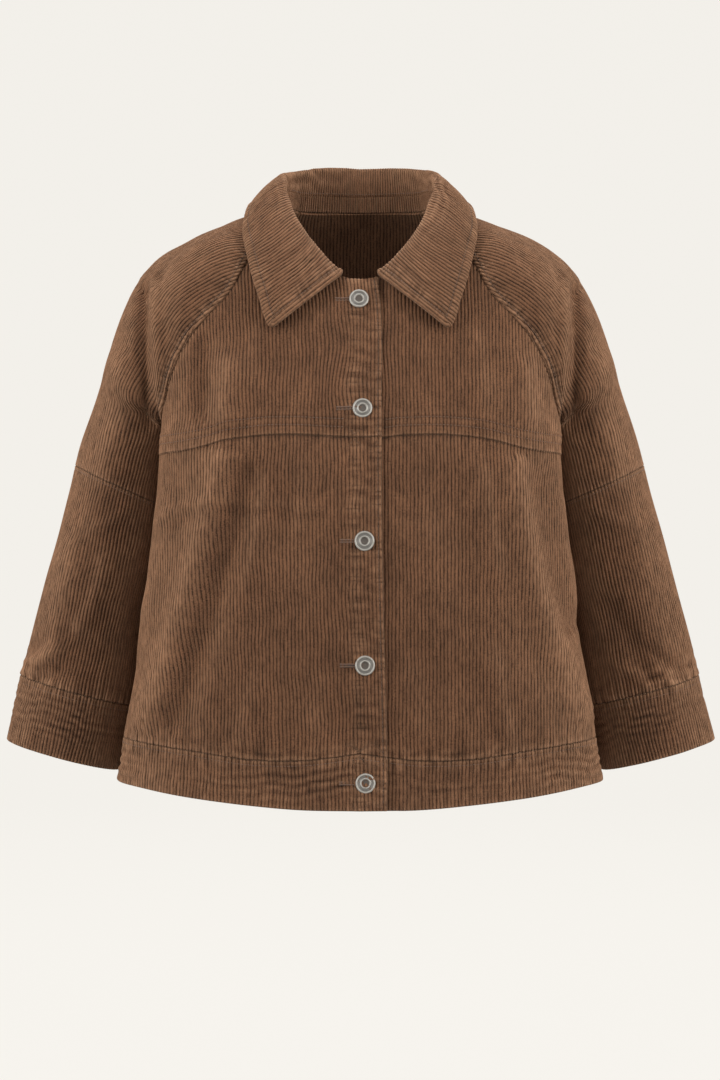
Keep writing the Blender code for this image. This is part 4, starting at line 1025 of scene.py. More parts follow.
sleeveParts = {
    "upper": {
        **plainCloth, "node": "sleeve_upper_", "bottom": "elbow", "spacing": 5.8, "far": armRows,
        "tip": (0.3, 1.4, 3, 5, 7.2, 9.8, 12.6, 15.6, 19, 23),
        "raised": (("gap", 1.2, 7.5, 2.2, 1.35),), "rounded": (("gap", 0.1, 1.3), ("up", 0.1, 1.4)),
        "pressed": (("gap", sleeve["raglanStitch"], 1.2, -0.6),),
        "puckers": (("s", 2.9, 9.5, 0.4, "up", None, 7),),
        # painted shade at the foot of the raised raglan allowance
        "wearAndPaintedLight": (("up", 1.5, 2, 0.3), ("gap", 9.5, 1.6, -0.25)),
        "seams": (("gap", sleeve["raglanStitch"], 0, "run", 0, 1.0), ("up", None, 0, "s", 0, 0.6))},
    "lower": {
        **plainCloth, "node": "sleeve_lower_", "top": "elbow", "bottom": "wrist", "spacing": 6.4,
        "near": armRows, "far": armRows,
        "rounded": (("down", 0.1, 1.4), ("up", 0.1, 1.4)),
        "pressed": (("down", sleeve["elbowStitch"], 1.2, -0.4),),
        "puckers": (("s", 2.9, 9.5, 0.4, "down", None, 8), ("s", 4.4, 14, 1.5, "up", None, 15)),
        "wrinkles": (("s", "up", 7.7, 12.0, 0.8, "up", 14, 16, 1),),
        "wearAndPaintedLight": (("down", 1.5, 2, 0.35), ("up", 2, 3, 0.25)),
        "seams": (("down", None, 0, "s", 0, 0.6), ("up", None, 0, "s", 900, 0.9))},
    "cuff": {
        **bandCloth, "node": "cuff_", "top": "wrist", "bottom": "edge", "spacing": 4.0,
        "near": armRows, "pressed": (("down", sleeve["cuffStitch"], 1.2, -0.45),
                                     ("down", sleeve["cuffCrease"], 2.4, -0.8)),
        "puckers": (("s", 6.1, 9.5, 0.9, "down", 5, 7), ("s", 0.9, 13, 0.6, "up", 10, 10)),
        "wrinkles": (("s", "down", 5.0, 9.0, 0.95, "down", 30, 22, 1),),
        # edges lighter as wear; painted shade in the cuff's fold crease
        "wearAndPaintedLight": (("up", 0, 2.5, 0.5), ("down", 1, 2, 0.35), ("down", 21, 2.5, 0.25),
                 ("down", sleeve["cuffCrease"], 1.8, -0.3)),
        "seams": (("down", None, 0, "s", 0, 0.9), ("down", sleeve["cuffCrease"], 4, "s", 900, 0.7),
                  ("up", None, 3, "s", 400, 0.7))},
}


def sleeveFrame(along):
    # ends, outermost point, crest and half depth of each section: on the body, then down the arm
    up, down = np.minimum(along, 1), np.maximum(along, 1)
    arm, raglan = sleeve["arm"], body["raglan"]
    innerHeight = read(arm, "innerHeight", down)
    inner = bodyAt(sideGirth(innerHeight), innerHeight)
    inner[..., 0] += read(arm, "clearance", down)
    onBody = (along < 1)[..., None]
    front = np.where(onBody, raglanPoint(up, "front"), inner)
    back = np.where(onBody, raglanPoint(up, "back"), inner)
    outerNames = ("outerX", "outerY", "outerHeight")
    outer = np.where(onBody, np.stack([read(raglan, name, up) for name in outerNames], -1),
                     np.stack([read(arm, name, down) for name in outerNames], -1))
    crest = np.where(along < 1, read(raglan, "crest", up), 0)
    halfDepth = np.where(along < 1, read(raglan, "halfDepth", up), read(arm, "halfDepth", down))
    return front, back, outer, crest, halfDepth


def keepClear(row, along):      # pushes the sleeve out of the body's side, except on their seams
    gap = np.minimum(np.linalg.norm(row - row[:, :1], axis=-1),
                     np.linalg.norm(row - row[:, -1:], axis=-1))
    below = softStep((along - 1) / 0.2)[:, None]
    room = sleeve["armRoom"] * np.maximum(softStep(gap / sleeve["roomFade"]), below)
    push = np.maximum(bodySide(row[..., 1], row[..., 2]) + room - row[..., 0], 0)
    push = push * softStep((along - 0.6) / 0.1)[:, None]
    return row + np.stack([push, 0 * push, 0 * push], axis=-1)


def sleeveRows(along, shares):
    # rows from front seam over the shoulder to back seam: the larger of two rounds, softly joined
    front, back, outer, crest, halfDepth = sleeveFrame(along)
    turn = np.linspace(0, math.pi, 181)
    middle, chord = (front + back) / 2, back - front
    half = np.linalg.norm(chord, axis=-1)[:, None] / 2
    chordWay = unit(chord + np.array([0, sleeve["depthPull"], 0]))
    reach = outer - middle
    rise = np.linalg.norm(reach, axis=-1)[:, None]
    power = 1.7 + 0.7 * softStep(along / 0.25)[:, None]
    corner = np.maximum(rise * crest[:, None], 1e-3)
    ridgeRound = ((np.abs(np.cos(turn)) / np.maximum(half, 1e-3))**power
                  + (np.sin(turn) / corner)**power)**(-1 / power)
    depth = halfDepth[:, None]
    part = np.sqrt(np.clip(1 - (sleeve["tuck"] * half / depth)**2, 0, 1))
    centre = rise * part / (1 + part)
    tall = rise - centre
    a = np.cos(turn)**2 / depth**2 + np.sin(turn)**2 / tall**2
    b = centre * np.sin(turn) / tall**2
    armRound = (b + np.sqrt(np.maximum(b**2 - a * (centre**2 / tall**2 - 1), 0))) / a
    spare = np.sqrt(np.clip(1 - crest, 0, 1))[:, None]
    soft = sleeve["smoothing"] * spare * np.minimum(1, 2 * np.sin(turn))
    soft = np.minimum(soft + 1e-3, half + 1e-3)
    overlap = np.maximum(soft - np.abs(ridgeRound - armRound), 0) / soft
    radius = np.maximum(ridgeRound, armRound) + overlap**2 * soft / 4
    row = (middle[:, None] - (radius * np.cos(turn))[..., None] * chordWay[:, None]
           + (radius * np.sin(turn))[..., None] * (reach / rise)[:, None])
    toFront = np.maximum(np.cos(turn), 0)[:, None]**2
    toBack = np.maximum(-np.cos(turn), 0)[:, None]**2
    row += toFront * (front[:, None] - row[:, :1]) + toBack * (back[:, None] - row[:, -1:])
    return alongLine(keepClear(row, along), shares)


def sleeveTables():             # the sleeve at even steps down its shoulder line and round it
    along = sleeveAlong
    spine = runAlong(sleeveRows(along, np.array([0.5]))[:, 0])
    at = np.arange(0, spine[-1], sleeve["step"])
    grid = sleeveRows(np.interp(at, spine, along), np.linspace(0, 1, sleeve["rounds"] + 1))
    more = np.arange(1, 4)      # carried straight on past the edge
    grid = np.concatenate([grid, grid[-1] + more[:, None, None] * (grid[-1] - grid[-2])])
    at = np.append(at, at[-1] + more * sleeve["step"])
    grid[..., 0] += 0.15
    ends = {name: float(np.interp(value, along, spine)) for name, value in sleeve["ends"].items()}
    return grid, at, runAlong(grid)[:, -1], ends, spine


sleeveAlong = np.linspace(0, sleeve["ends"]["edge"], 881)
sleeveGrid, sleeveAt, sleeveLength, sleeveEnds, sleeveSpine = sleeveTables()
sleeveWhole = float(np.interp(sleeveEnds["underarm"], sleeveAt, sleeveLength))
sleeveWales = int(round(sleeveWhole / pitch / 2)) * 2
sleeveQuarter = sleeveWhole / (4 * sleeveWales)


def sleeveSpot(s, v):           # share of the way round for a distance from the shoulder line
    length = np.where(v < sleeveEnds["underarm"], np.interp(v, sleeveAt, sleeveLength), sleeveWhole)
    return np.clip(0.5 + s / length, 0, 1)


def sleeveSurface(part, side, s, v):
    # the table at this share of the way round, and how far the cloth stands off it
    spec = sleeveParts[part]
    s, v = np.broadcast_arrays(np.asarray(s, float), np.asarray(v, float))
    length = np.interp(v, sleeveAt, sleeveLength)
    drift = wander(s + 300, -v) * softStep((sleeveWhole / 2 - np.abs(s)) / 10)
    share = sleeveSpot(s + drift * softStep((length / 2 - np.abs(s)) / 10), v)

    def spot(share, v):         # the table at a share of the way round
        return lookUp(sleeveGrid, v / sleeve["step"], share * sleeve["rounds"])
    ahead = spot(np.minimum(share + 0.006, 1), v) - spot(np.maximum(share - 0.006, 0), v)
    lower = spot(share, v + 2) - spot(share, np.maximum(v - 2, 0))
    base = mirrored(spot(share, v), side)
    cloth = softCloth(base, mirrored(unit(np.cross(lower, ahead)), side), "sleeve", 8)
    at = {"s": s, "up": sleeveEnds[spec["bottom"]] - v}
    if part == "upper":         # puckers are round on the raised seam and die away past it
        raglan = nearestSeam(*((*nearestOn(raglanLine(which, side), base), 1.0)
                               for which in ("front", "back")))
        gap, run = at["gap"], at["run"] = raglan["gap"], raglan["run"]
        relief = cloth["relief"] * softStep(gap / raglanFade)
        cloth["folded"] = relief.copy()
        ridge, gather = allowance(gap, *spec["raised"][0][1:4]), sleeve["raglanPucker"]
        past = np.exp(-np.maximum(gap - gather["start"], 0) / gather["fade"]) * (1 - ridge)
        fine = pucker(run, gather["seed"], gather["period"])
        fine = fine * (gather["onRidge"] * ridge + gather["past"] * past)
        cloth["relief"] = relief + fine
        # painted highlight on the pucker bumps and painted shade between them; lighter along the
        # raised ridge
        cloth["worn"] = cloth["worn"] + rubbedAndShaded(fine) + 0.75 * ridge * bell(gap - 3.2, 2.6)
    else:
        at["down"] = v - sleeveEnds[spec["top"]]
    addDetails(cloth, at, spec, side)
    inner = np.minimum(share, 1 - share) * length
    tube = softStep((v - sleeveEnds["underarm"]) / 10)
    innerSeam = roundOff(inner + 0.4, 1.4) + 0.25 * pucker(v, 3.3) * np.exp(-inner / 6)
    cloth["relief"] = cloth["relief"] + innerSeam * tube
    return {**cloth, **nearestSeam((inner + seamReach * (1 - tube), v, 0.4), *seamsOf(spec, at))}


def makeSleeve(part, side):     # even columns round it; the upper one starts on the raglan seam
    spec, ends = sleeveParts[part], sleeveEnds
    columns = np.arange(-2 * sleeveWales, 2 * sleeveWales + 1)
    s = columns * sleeveQuarter
    if part == "upper":
        above = sleeveAt < ends["underarm"]
        halves = np.append(np.maximum.accumulate(sleeveLength[above] / 2), sleeveWhole / 2)
        start = np.interp(np.abs(s), halves, np.append(sleeveAt[above], ends["underarm"]))
        first = rowDepths(ends["underarm"] - start, spec["tip"], (0.0,), spec["spacing"])
        closedFrom = len(first) - 1
        below = np.full(len(s), ends["elbow"] - ends["underarm"])
        second = rowDepths(below, (4.5,), spec["far"], 5.0)
        v = np.concatenate([start + first, ends["underarm"] + second])
    else:
        top, closedFrom = ends[spec["top"]], 0
        span = np.full(len(s), ends[spec["bottom"]] - top)
        v = top + rowDepths(span, spec["near"], spec["far"], spec["spacing"])
    cloth = sleeveSurface(part, side, s[None] + 0 * v, v)
    across = s[None] * pitch / (4 * sleeveQuarter)
    makeCloth(spec["node"] + sideWord[side], spec, cloth, wales(columns, sleeve["wale"])[None],
              across, -v, closedFrom=closedFrom, tent=part == "upper")


for side in (-1, 1):
    for part in sleeveParts:
        makeSleeve(part, side)
print("sleeves ready")


# collar: stand inside the neck, leaf rolled over it; s is measured half way down the leaf

collar = {
    "sections": columnsOf("along rollX rollY rollZ edgeX edgeY edgeZ lift stand rise crown", (
        (0.00, 15, -99, -67, 91, -121, -128, 5.5, 0, 2, 16),
        (0.07, 28, -93, -55, 98, -116, -113, 5.0, 0, 2, 16),
        (0.15, 39, -85, -41, 103, -109, -95, 4.5, 0, 3, 16),
        (0.25, 50, -73, -23, 111, -98, -70, 3.5, 0, 5, 16),
        (0.33, 60, -59, -4, 117, -83, -47, 2.5, 0, 9, 17),
        (0.42, 71, -38, 22, 122, -62, -21, 1.0, 12, 17, 12),
        (0.50, 74, -14, 42, 120, -38, 0, 0.6, 17, 21, 8),
        (0.60, 74, 16, 54, 116, 2, 12, 0.6, 18, 22, 6),
        (0.72, 64, 45, 62, 106, 48, 12, 0.6, 18, 22, 9),
        (0.86, 36, 73, 70.5, 61, 86, 3, 0.6, 18, 22, 15),
        (1.00, 0, 84, 71, 0, 101, -1, 0.6, 18, 22, 18))),
    "start": 15.0, "rollRound": 8.0, "wale": 0.72, "stitch": 10.0, "rows": 22, "tipRound": 9.0,
    "steps": 80, "middle": 48, "standHeight": 18.0,
}
collarParts = {
    "leaf": {
        "node": "collar_fall", "thickness": 3.0, "slot": "corduroy_band",
        "rounded": (("border", 0, 2.2),),
        "pressed": (("border", collar["stitch"], 1.5, -0.7), ("border", 5, 3.2, 0.6)),
        # border lighter as wear; painted shade at the roll and in the stitch groove
        "wearAndPaintedLight": (("border", 0, 3, 0.5), ("border", 6, 3, 0.15), ("place", 20, 12, 0.12),
                 ("place", 0, 9, -0.12), ("border", collar["stitch"], 1.4, -0.25))},
    "stand": {
        "node": "collar_stand", "thickness": 2.6, "slot": "corduroy_band",
        "rounded": (("up", 0, 1.2),), "wearAndPaintedLight": (("up", 1.4, 1.6, 0.7), ("up", 17, 1.5, 0.3))},
}


def neckLine():                 # half the neckline from the collar's end to centre back
    girth = np.linspace(collar["start"], body["neck"]["girth"][-1], 40)
    front = bodyAt(girth, read(body["neck"], "height", girth))
    shoulder = sleeveRows(np.array([0.0]), np.linspace(0, 1, 30))[0]
    girth = np.linspace(body["backNeck"]["girth"][-1], 0, 30)
    back = bodyAt(girth, read(body["backNeck"], "height", girth), True)
    return np.concatenate([front, shoulder[1:-1], back])


def collarSections(along):      # up the stand, a cubic over the roll and down the leaf
    rows = collar["sections"]
    foot = alongLine(neckLine()[None], along)[0]
    foot[:, 2] += read(rows, "lift", along)
    roll = np.stack([read(rows, "roll" + k, along) for k in "XYZ"], axis=-1)
    edge = np.stack([read(rows, "edge" + k, along) for k in "XYZ"], axis=-1)
    rise = read(rows, "rise", along)[:, None]
    crown = read(rows, "crown", along)[:, None]
    up = unit(roll - foot + np.array([0, 0, 0.5]))
    outward = unit(edge - roll)
    length = np.linalg.norm(edge - roll, axis=-1, keepdims=True)
    lift = unit(np.cross(outward, np.cross(up, outward)))
    turnIn = foot + (roll - up * rise * 0.6 - foot) * softStep(rise / collar["rollRound"] - 1)
    t = np.linspace(0, 1, 60)[None, :, None]
    first = turnIn + (roll - turnIn) * 1.8
    second = edge - outward * length * 0.45 + lift * crown
    bend = ((1 - t)**3 * turnIn[:, None] + 3 * t * (1 - t)**2 * first[:, None]
            + 3 * t**2 * (1 - t) * second[:, None] + t**3 * edge[:, None])
    whole = np.concatenate([foot[:, None], bend], axis=1)
    return whole, read(rows, "stand", along) / runAlong(whole)[:, -1]


def collarTables():             # stations a millimetre apart half way down the leaf, both halves
    along = np.linspace(0, 1, 301)
    lines, stand = collarSections(along)
    shares = np.linspace(0, 1, collar["steps"] + 1)

    def rowsOf(low, high):      # each section between two shares of its length
        return np.array([alongLine(line[None], a + (b - a) * shares)[0]
                         for line, a, b in zip(lines, low, high)])
    leaf, band = rowsOf(stand, 1 + 0 * stand), rowsOf(0 * stand, stand)
    walked = runAlong(leaf[:, collar["middle"]][None])[0]
    reach = float(walked[-1])
    s = np.arange(-math.floor(reach), math.floor(reach) + 1)
    place = np.interp(reach - np.abs(s), walked, np.arange(len(along)))
    sign = np.where(s < 0, -1.0, 1.0)[:, None, None]
    flip = np.concatenate([sign, 0 * sign + 1, 0 * sign + 1], axis=-1)
    column = np.broadcast_to(np.arange(float(len(shares))), (len(s), len(shares)))
    spots = np.broadcast_to(place[:, None], column.shape)
    return (lookUp(leaf, spots, column) * flip, lookUp(band, spots, column) * flip, reach,
            np.interp(place, np.arange(len(along)), stand), float(s[0]))


leafGrid, standGrid, collarReach, standShare, collarFirst = collarTables()
leafLength = runAlong(leafGrid)[:, -1]


def leafLengthAt(s):            # from the roll to the outer edge
    return np.interp(s, np.arange(len(leafLength)) + collarFirst, leafLength)


def drawnIn(fromEnd, fromSide, radius):     # a square corner's distances drawn in to a quarter disc
    a, b = np.maximum(radius - fromEnd, 0), np.maximum(radius - fromSide, 0)
    drawn = np.maximum(a, b) / np.maximum(np.hypot(a, b), 1e-6)
    return (a > 0) & (b > 0), radius - a * drawn, radius - b * drawn


def collarSurface(part, s, w):  # w is the share of the way from the stand's top to the outer edge
    s, w = np.broadcast_arrays(np.asarray(s, float), np.asarray(w, float))
    spec, radius = collarParts[part], collar["tipRound"]
    grid = leafGrid if part == "leaf" else standGrid

    def spot(s, w):             # the table at a station and share
        return lookUp(grid, s - collarFirst, w * collar["steps"])

    def besides(s, w):          # a step along the collar, kept off its ends
        inner = np.clip(s, 2 - collarReach, collarReach - 2)
        return spot(inner + 1, w) - spot(inner - 1, w)

    def edges(s, w):            # how far it is to the outer edge and to the front end
        scale = np.linalg.norm(besides(s, w), axis=-1) / 2
        return (1 - w) * leafLengthAt(s), (collarReach - np.abs(s)) * scale, scale
    if part == "leaf":
        fadeIn = softStep((collarReach - np.abs(s)) / 20)
        s = s + 1.3 * wander(s * 1.4 + 90, w * collar["steps"]) * fadeIn
        fromEdge, fromEnd, scale = edges(s, w)
        both, endGap, edgeGap = drawnIn(fromEnd, fromEdge, radius)
        s = np.where(both, np.sign(s) * (collarReach - endGap / scale), s)
        w = np.where(both, 1 - edgeGap / leafLengthAt(s), w)
        both, endGap, topGap = drawnIn(fromEnd, w * leafLengthAt(s), radius)
        s = np.where(both, np.sign(s) * (collarReach - endGap / scale), s)
        w = np.where(both, topGap / leafLengthAt(s), w)
    base = spot(s, w)
    down = spot(s, np.minimum(w + 0.012, 1)) - spot(s, np.maximum(w - 0.012, 0))
    cloth = {"base": base, "way": unit(np.cross(besides(s, w), down))}
    place = w * collar["steps"]
    if part == "leaf":          # wrinkled along its roll and tips, puckered beside the stitches
        fromEdge, fromEnd, scale = edges(s, w)
        corner = np.hypot(np.maximum(radius - fromEnd, 0), np.maximum(radius - fromEdge, 0))
        border = np.where(corner > 0, radius - corner, np.minimum(fromEdge, fromEnd))
        border = np.maximum(np.minimum(border, np.minimum(fromEdge, fromEnd)), 0)
        run = np.where(fromEdge < fromEnd, s, fromEdge)
        cloth["folded"] = waver(base, 11) * 0.8 * softStep(border / 14)
        wings = softStep(border / 20) * softStep((np.abs(s) - 120) / 60)
        fine = 0.9 * drawnOut(s, place, 2.6, 13.0) * bell(place - 18, 15) * softStep(border / 14)
        fine = fine + 0.6 * pucker(s, 3.3, 17.0) * bell(place - 30, 22) * wings
        fine = fine + 0.6 * pucker(run, 2.0, 9.0) * bell(border - 6, 6)
        rollEdge = roundOff(w * leafLengthAt(s) + 0.2, 1.3) * (np.abs(s) < 190)
        cloth["relief"] = cloth["folded"] + fine + rollEdge
        folds = base + cloth["way"] * cloth["folded"][..., None]
        # painted highlight and shade on the wrinkles, painted sheen where the leaf faces sideways
        cloth["worn"] = 0.06 + rubbedAndShaded(fine) + 0.5 * sideOn(folds)
        addDetails(cloth, {"border": border, "place": place}, spec)
        gap = np.abs(border - collar["stitch"])
    else:
        gap, run = w * collar["standHeight"], s
        # the stand a little darker: painted shade under the leaf
        cloth.update(folded=0 * w, relief=0 * w, worn=-0.02)
        addDetails(cloth, {"up": gap}, spec)
    return {**cloth, "gap": gap, "run": run + 0 * gap, "pull": 0.8 + 0 * gap}


def makeCollar(part):           # whole wales from end to end; the stand's only where it has height
    spec = collarParts[part]
    wholeWales = int(collarReach / pitch)
    step = (collarReach - 0.05) / (4 * wholeWales)
    columns = np.arange(-4 * wholeWales, 4 * wholeWales + 1)
    if part == "stand":
        share = np.interp(columns * step, np.arange(len(standShare)) + collarFirst, standShare)
        columns = columns[share > 0.02]
        columns = columns[np.abs(columns) <= min(-columns[0], columns[-1]) // 4 * 4]
        w = np.array([0.004, 0.06, 0.2, 0.4, 0.6, 0.8, 0.94, 0.992])[:, None]
    else:
        middle = np.linspace(0.09, 0.84, collar["rows"])
        w = np.concatenate([(0, 0.012, 0.03, 0.055), middle, (
            0.87, 0.895, 0.92, 0.94, 0.957, 0.972, 0.984, 0.993, 1.0)])[:, None]
    s = columns * step
    cloth = collarSurface(part, s[None], w)
    length = runAlong(cloth["base"].transpose(1, 0, 2)).T
    makeCloth(spec["node"], spec, cloth, wales(columns, collar["wale"])[None],
              s[None] * pitch / (4 * step), -length, "folded")


for part in collarParts:
    makeCollar(part)
print("collar ready")


# stitches: short bent threads along lines on the cloth, their ends sunk in it

stitching = {
    "length": 2.9, "step": 3.7, "radius": 0.36, "sides": 5, "lift": 0.55,
    "places": (0, 0.2, 0.5, 0.8, 1.0), "rises": (-0.45, 0.12, 0.3, 0.12, -0.45),
    "taper": (0.55, 0.95, 1.0, 0.95, 0.55),
}


def threadTubes(centre, up, radii):     # rings round each thread's line, square to its whole length
    beside = unit(np.cross(centre[:, -1:] - centre[:, :1], up))[:, :, None]
    turns = np.arange(stitching["sides"])[:, None] / stitching["sides"] * 2 * math.pi
    ring = np.cos(turns) * beside + np.sin(turns) * up[:, :, None]
    return centre[:, :, None] + np.array(radii)[None, :, None, None] * ring


def stitchRow(points, ways, radius):    # a thread every step along a line, bent up in its middle
    run = runAlong(points[None])[0]
    starts = np.arange(stitching["step"] / 2, run[-1] - stitching["length"], stitching["step"])
    at = starts[:, None] + np.array(stitching["places"]) * stitching["length"]
    centre = np.stack([np.interp(at, run, points[:, k]) for k in range(3)], axis=-1)
    up = unit(np.stack([np.interp(at, run, ways[:, k]) for k in range(3)], axis=-1))
    centre = centre + up * np.array(stitching["rises"])[None, :, None]
    return threadTubes(centre, up, np.array(stitching["taper"]) * radius)


def addThreads(name, rows):    # all the tubes as one mesh, closed at both ends
    tubes = np.concatenate(rows)
    count, rings, sides = tubes.shape[:3]
    ids = np.arange(rings * sides).reshape(rings, sides)
    turned = np.roll(ids, -1, axis=1)
    walls = np.stack([ids[:-1], ids[1:], turned[1:], turned[:-1]], axis=-1).reshape(-1, 4)
    shift = (np.arange(count) * rings * sides)[:, None]
    faces = (walls[None] + shift[..., None]).reshape(-1, 4).tolist()
    faces += (ids[0][None] + shift).tolist() + (ids[-1][::-1][None] + shift).tolist()
    finish(addMesh(name, tubes.reshape(-1, 3), faces), thread)


def seamThread(cloth, radius=stitching["radius"]):      # stitches along a surface of one row
    line = cloth["base"] + cloth["way"] * (cloth["relief"] + stitching["lift"])[..., None]
    return stitchRow(line[0], cloth["way"][0], radius)


def panelLine(seam, which, offset, start):
    # girths and heights a fixed distance from a cross seam, from start round to the side seam
    reach = sideGirth(body[seam]["height"][-1], which == "back")
    girth = np.linspace(start, reach - 1, 260)
    return girth, crossSeam(seam, girth, which) + offset


def sideStitches(side):         # the rows of one side by kind, each on the surface it is sewn to
    rows = {"yoke": [], "bands": [], "raglan": [], "sleeves": [], "collar": []}

    def onFront(part, girth, height):   # stitches along a line on a front
        return seamThread(frontSurface(part, side, girth + lapShift(height, side), height))
    begin = 14.0 if side < 0 else lapShift(-245.0, -1) + 1
    for offset in fronts["yokeStitches"]:
        girth, height = panelLine("yokeSeam", "front", offset, begin)
        inside = height < panelTop("front", girth) - 3
        rows["yoke"].append(onFront("yoke", girth[inside][None], height[inside][None]))
    begin = lapShift(-558.0, -1)
    begin = 6 - begin if side < 0 else begin + 1
    girth, height = panelLine("hemSeam", "front", -fronts["bandStitch"], begin)
    rows["bands"].append(onFront("band", girth[None], height[None]))
    girth, height = panelLine("backHemSeam", "back", -backs["stitch"], 0.0)
    rows["bands"].append(seamThread(backSurface("band", side * girth[None], height[None])))
    for sign in (-1, 1):
        v = np.interp(np.linspace(0.02, 0.985, 220), sleeveAlong, sleeveSpine)
        s = sign * (np.interp(v, sleeveAt, sleeveLength) / 2 - sleeve["raglanStitch"])
        rows["raglan"].append(seamThread(sleeveSurface("upper", side, s[None], v[None]), 0.42))
    s = np.linspace(-sleeveWhole / 2, sleeveWhole / 2, 300)[None]
    for part, v in (("lower", sleeveEnds["elbow"] + sleeve["elbowStitch"]),
                    ("cuff", sleeveEnds["wrist"] + sleeve["cuffStitch"])):
        rows["sleeves"].append(seamThread(sleeveSurface(part, side, s, v + 0 * s)))
    w = np.linspace(0.06, 1 - collar["stitch"] / leafLengthAt(collarReach - 20), 160)
    s = np.full(len(w), collarReach - 10.0)
    for _ in range(3):          # the row keeps its distance from the slanting front edge
        place, column = s - collarFirst, w * collar["steps"]
        step = lookUp(leafGrid, place, column) - lookUp(leafGrid, place - 2, column)
        s = collarReach - collar["stitch"] / (np.linalg.norm(step, axis=-1) / 2)
    rows["collar"].append(seamThread(collarSurface("leaf", side * s[None], w[None])))
    return rows


def makeStitches():             # the rows of both sides, of the front edge and of the collar
    both = [sideStitches(side) for side in (-1, 1)]
    rows = {kind: both[0][kind] + both[1][kind] for kind in both[0]}
    rows["edge"] = []
    for part, top, end in (("yoke", -74, -236), ("lower", -240, -556), ("band", -560, -604)):
        height = np.linspace(top, end, 240)[None]
        s = fronts["edgeStitch"] + 0 * height
        rows["edge"].append(seamThread(frontSurface(part, -1, s, height)))
    s = np.linspace(10 - collarReach, collarReach - 10, 900)[None]
    w = 1 - collar["stitch"] / leafLengthAt(s)
    rows["collar"].append(seamThread(collarSurface("leaf", s, w)))
    s = np.linspace(-130, 130, 300)[None]
    rows["collar"].append(seamThread(collarSurface("leaf", s, 0.03 + 0 * s)))
    for kind in ("yoke", "bands", "edge", "raglan", "sleeves", "collar"):
        addThreads("stitches_" + kind, rows[kind])


makeStitches()
print("stitches ready")


# buttonholes: close stitches across both sides of a slit

holes = {
    "length": 23.0, "start": 2.0, "stitches": 30, "bar": 1.9, "inset": 0.25, "lift": 0.5,
    "rises": (-0.25, 0.32, 0.5, 0.32, -0.3), "radii": (0.252, 0.42, 0.42, 0.42, 0.252),
    "slit": ((0.05, 0.42), (0.05, -0.42), (-0.6, -0.42), (-0.6, 0.42)),
}


def buttonFrame(x, height):     # place on the cloth, outward, across and upward
    ahead = np.array([math.copysign(1, x), 1, 1])
    place = bodyAt(abs(x), height) * ahead
    way = bodyNormal(abs(x), height) * ahead
    across = unit(np.cross(np.array([0, 0, 1.0]), way))
    return place, way, across, np.cross(way, across)


def partAt(height):             # which piece of the front a height is on
    return "yoke" if height > -236 else "lower" if height > -553 else "band"


def onRightFront(x, height):    # points of the right front at a place seen from the front
    s = lapShift(height, -1) - x
    cloth = frontSurface(partAt(float(np.mean(height))), -1, s[None], height[None])
    line = cloth["base"] + cloth["way"] * (cloth["relief"] + holes["lift"])[..., None]
    return line[0], cloth["way"][0]


def makeHoles():                # bars above and below each slit, and a thin dark strip in it: painted shade in the slit
    rows, slitShades, faces = [], [], []
    rise = np.array([0, 0, 1.0])
    count = holes["stitches"]
    for x, height in buttonPlaces:
        along = x - holes["start"] - np.linspace(0, 1, count) * holes["length"]
        middle, way = onRightFront(along, height + 0 * along)
        for sign in (-1, 1):
            bar = np.linspace(holes["inset"], holes["inset"] + holes["bar"], 5)[None, :, None]
            lift = way[:, None] * np.array(holes["rises"])[None, :, None]
            centre = middle[:, None] + bar * rise * sign + lift
            rows.append(threadTubes(centre, way[:, None], holes["radii"]))
        ids = len(slitShades) * count * 4 + np.arange(count * 4).reshape(-1, 4)
        corners = [middle + way * out + rise * up for out, up in holes["slit"]]
        slitShades.append(np.stack(corners, axis=1))
        beyond = np.roll(ids, -1, axis=1)
        faces += np.stack([ids[:-1], beyond[:-1], beyond[1:], ids[1:]], -1).reshape(-1, 4).tolist()
        faces += [ids[0][::-1].tolist(), ids[-1].tolist()]
    addThreads("buttonhole_stitches", rows)
    shadeStrips = addMesh("buttonhole_slit_shades", np.concatenate(slitShades).reshape(-1, 3), faces)
    finish(shadeStrips, slitShadeMaterial)


makeHoles()
print("buttonholes ready")


# buttons: a turned profile, radius and height over the cloth

button = {
    "sides": 72, "hollow": 3.75, "ring": (5.5, 8.05),
    "metal": (0.36, 0.34, 0.305), "dull": (0.17, 0.16, 0.145), "dark": (0.085, 0.070, 0.058),
    "tarnish": (0.14, 0.115, 0.09),
    "profile": (
        (2.0, -3.4), (2.0, 0.9), (8.9, 0.9), (9.55, 1.15), (9.95, 1.7), (10.0, 2.3), (9.75, 2.95),
        (9.3, 3.32), (8.75, 3.4), (8.3, 3.25), (8.0, 2.85), (7.8, 2.5), (7.55, 2.55), (7.3, 2.42),
        (7.05, 2.55), (6.8, 2.42), (6.55, 2.56), (6.3, 2.45), (6.05, 2.6), (5.8, 2.5), (5.6, 2.62),
        (5.42, 2.95), (5.1, 3.25), (4.7, 3.33), (4.3, 3.2), (4.05, 2.8), (3.9, 2.3), (3.6, 2.0),
        (3.0, 1.85), (2.2, 1.8), (1.2, 1.78), (0.45, 1.78)),
}
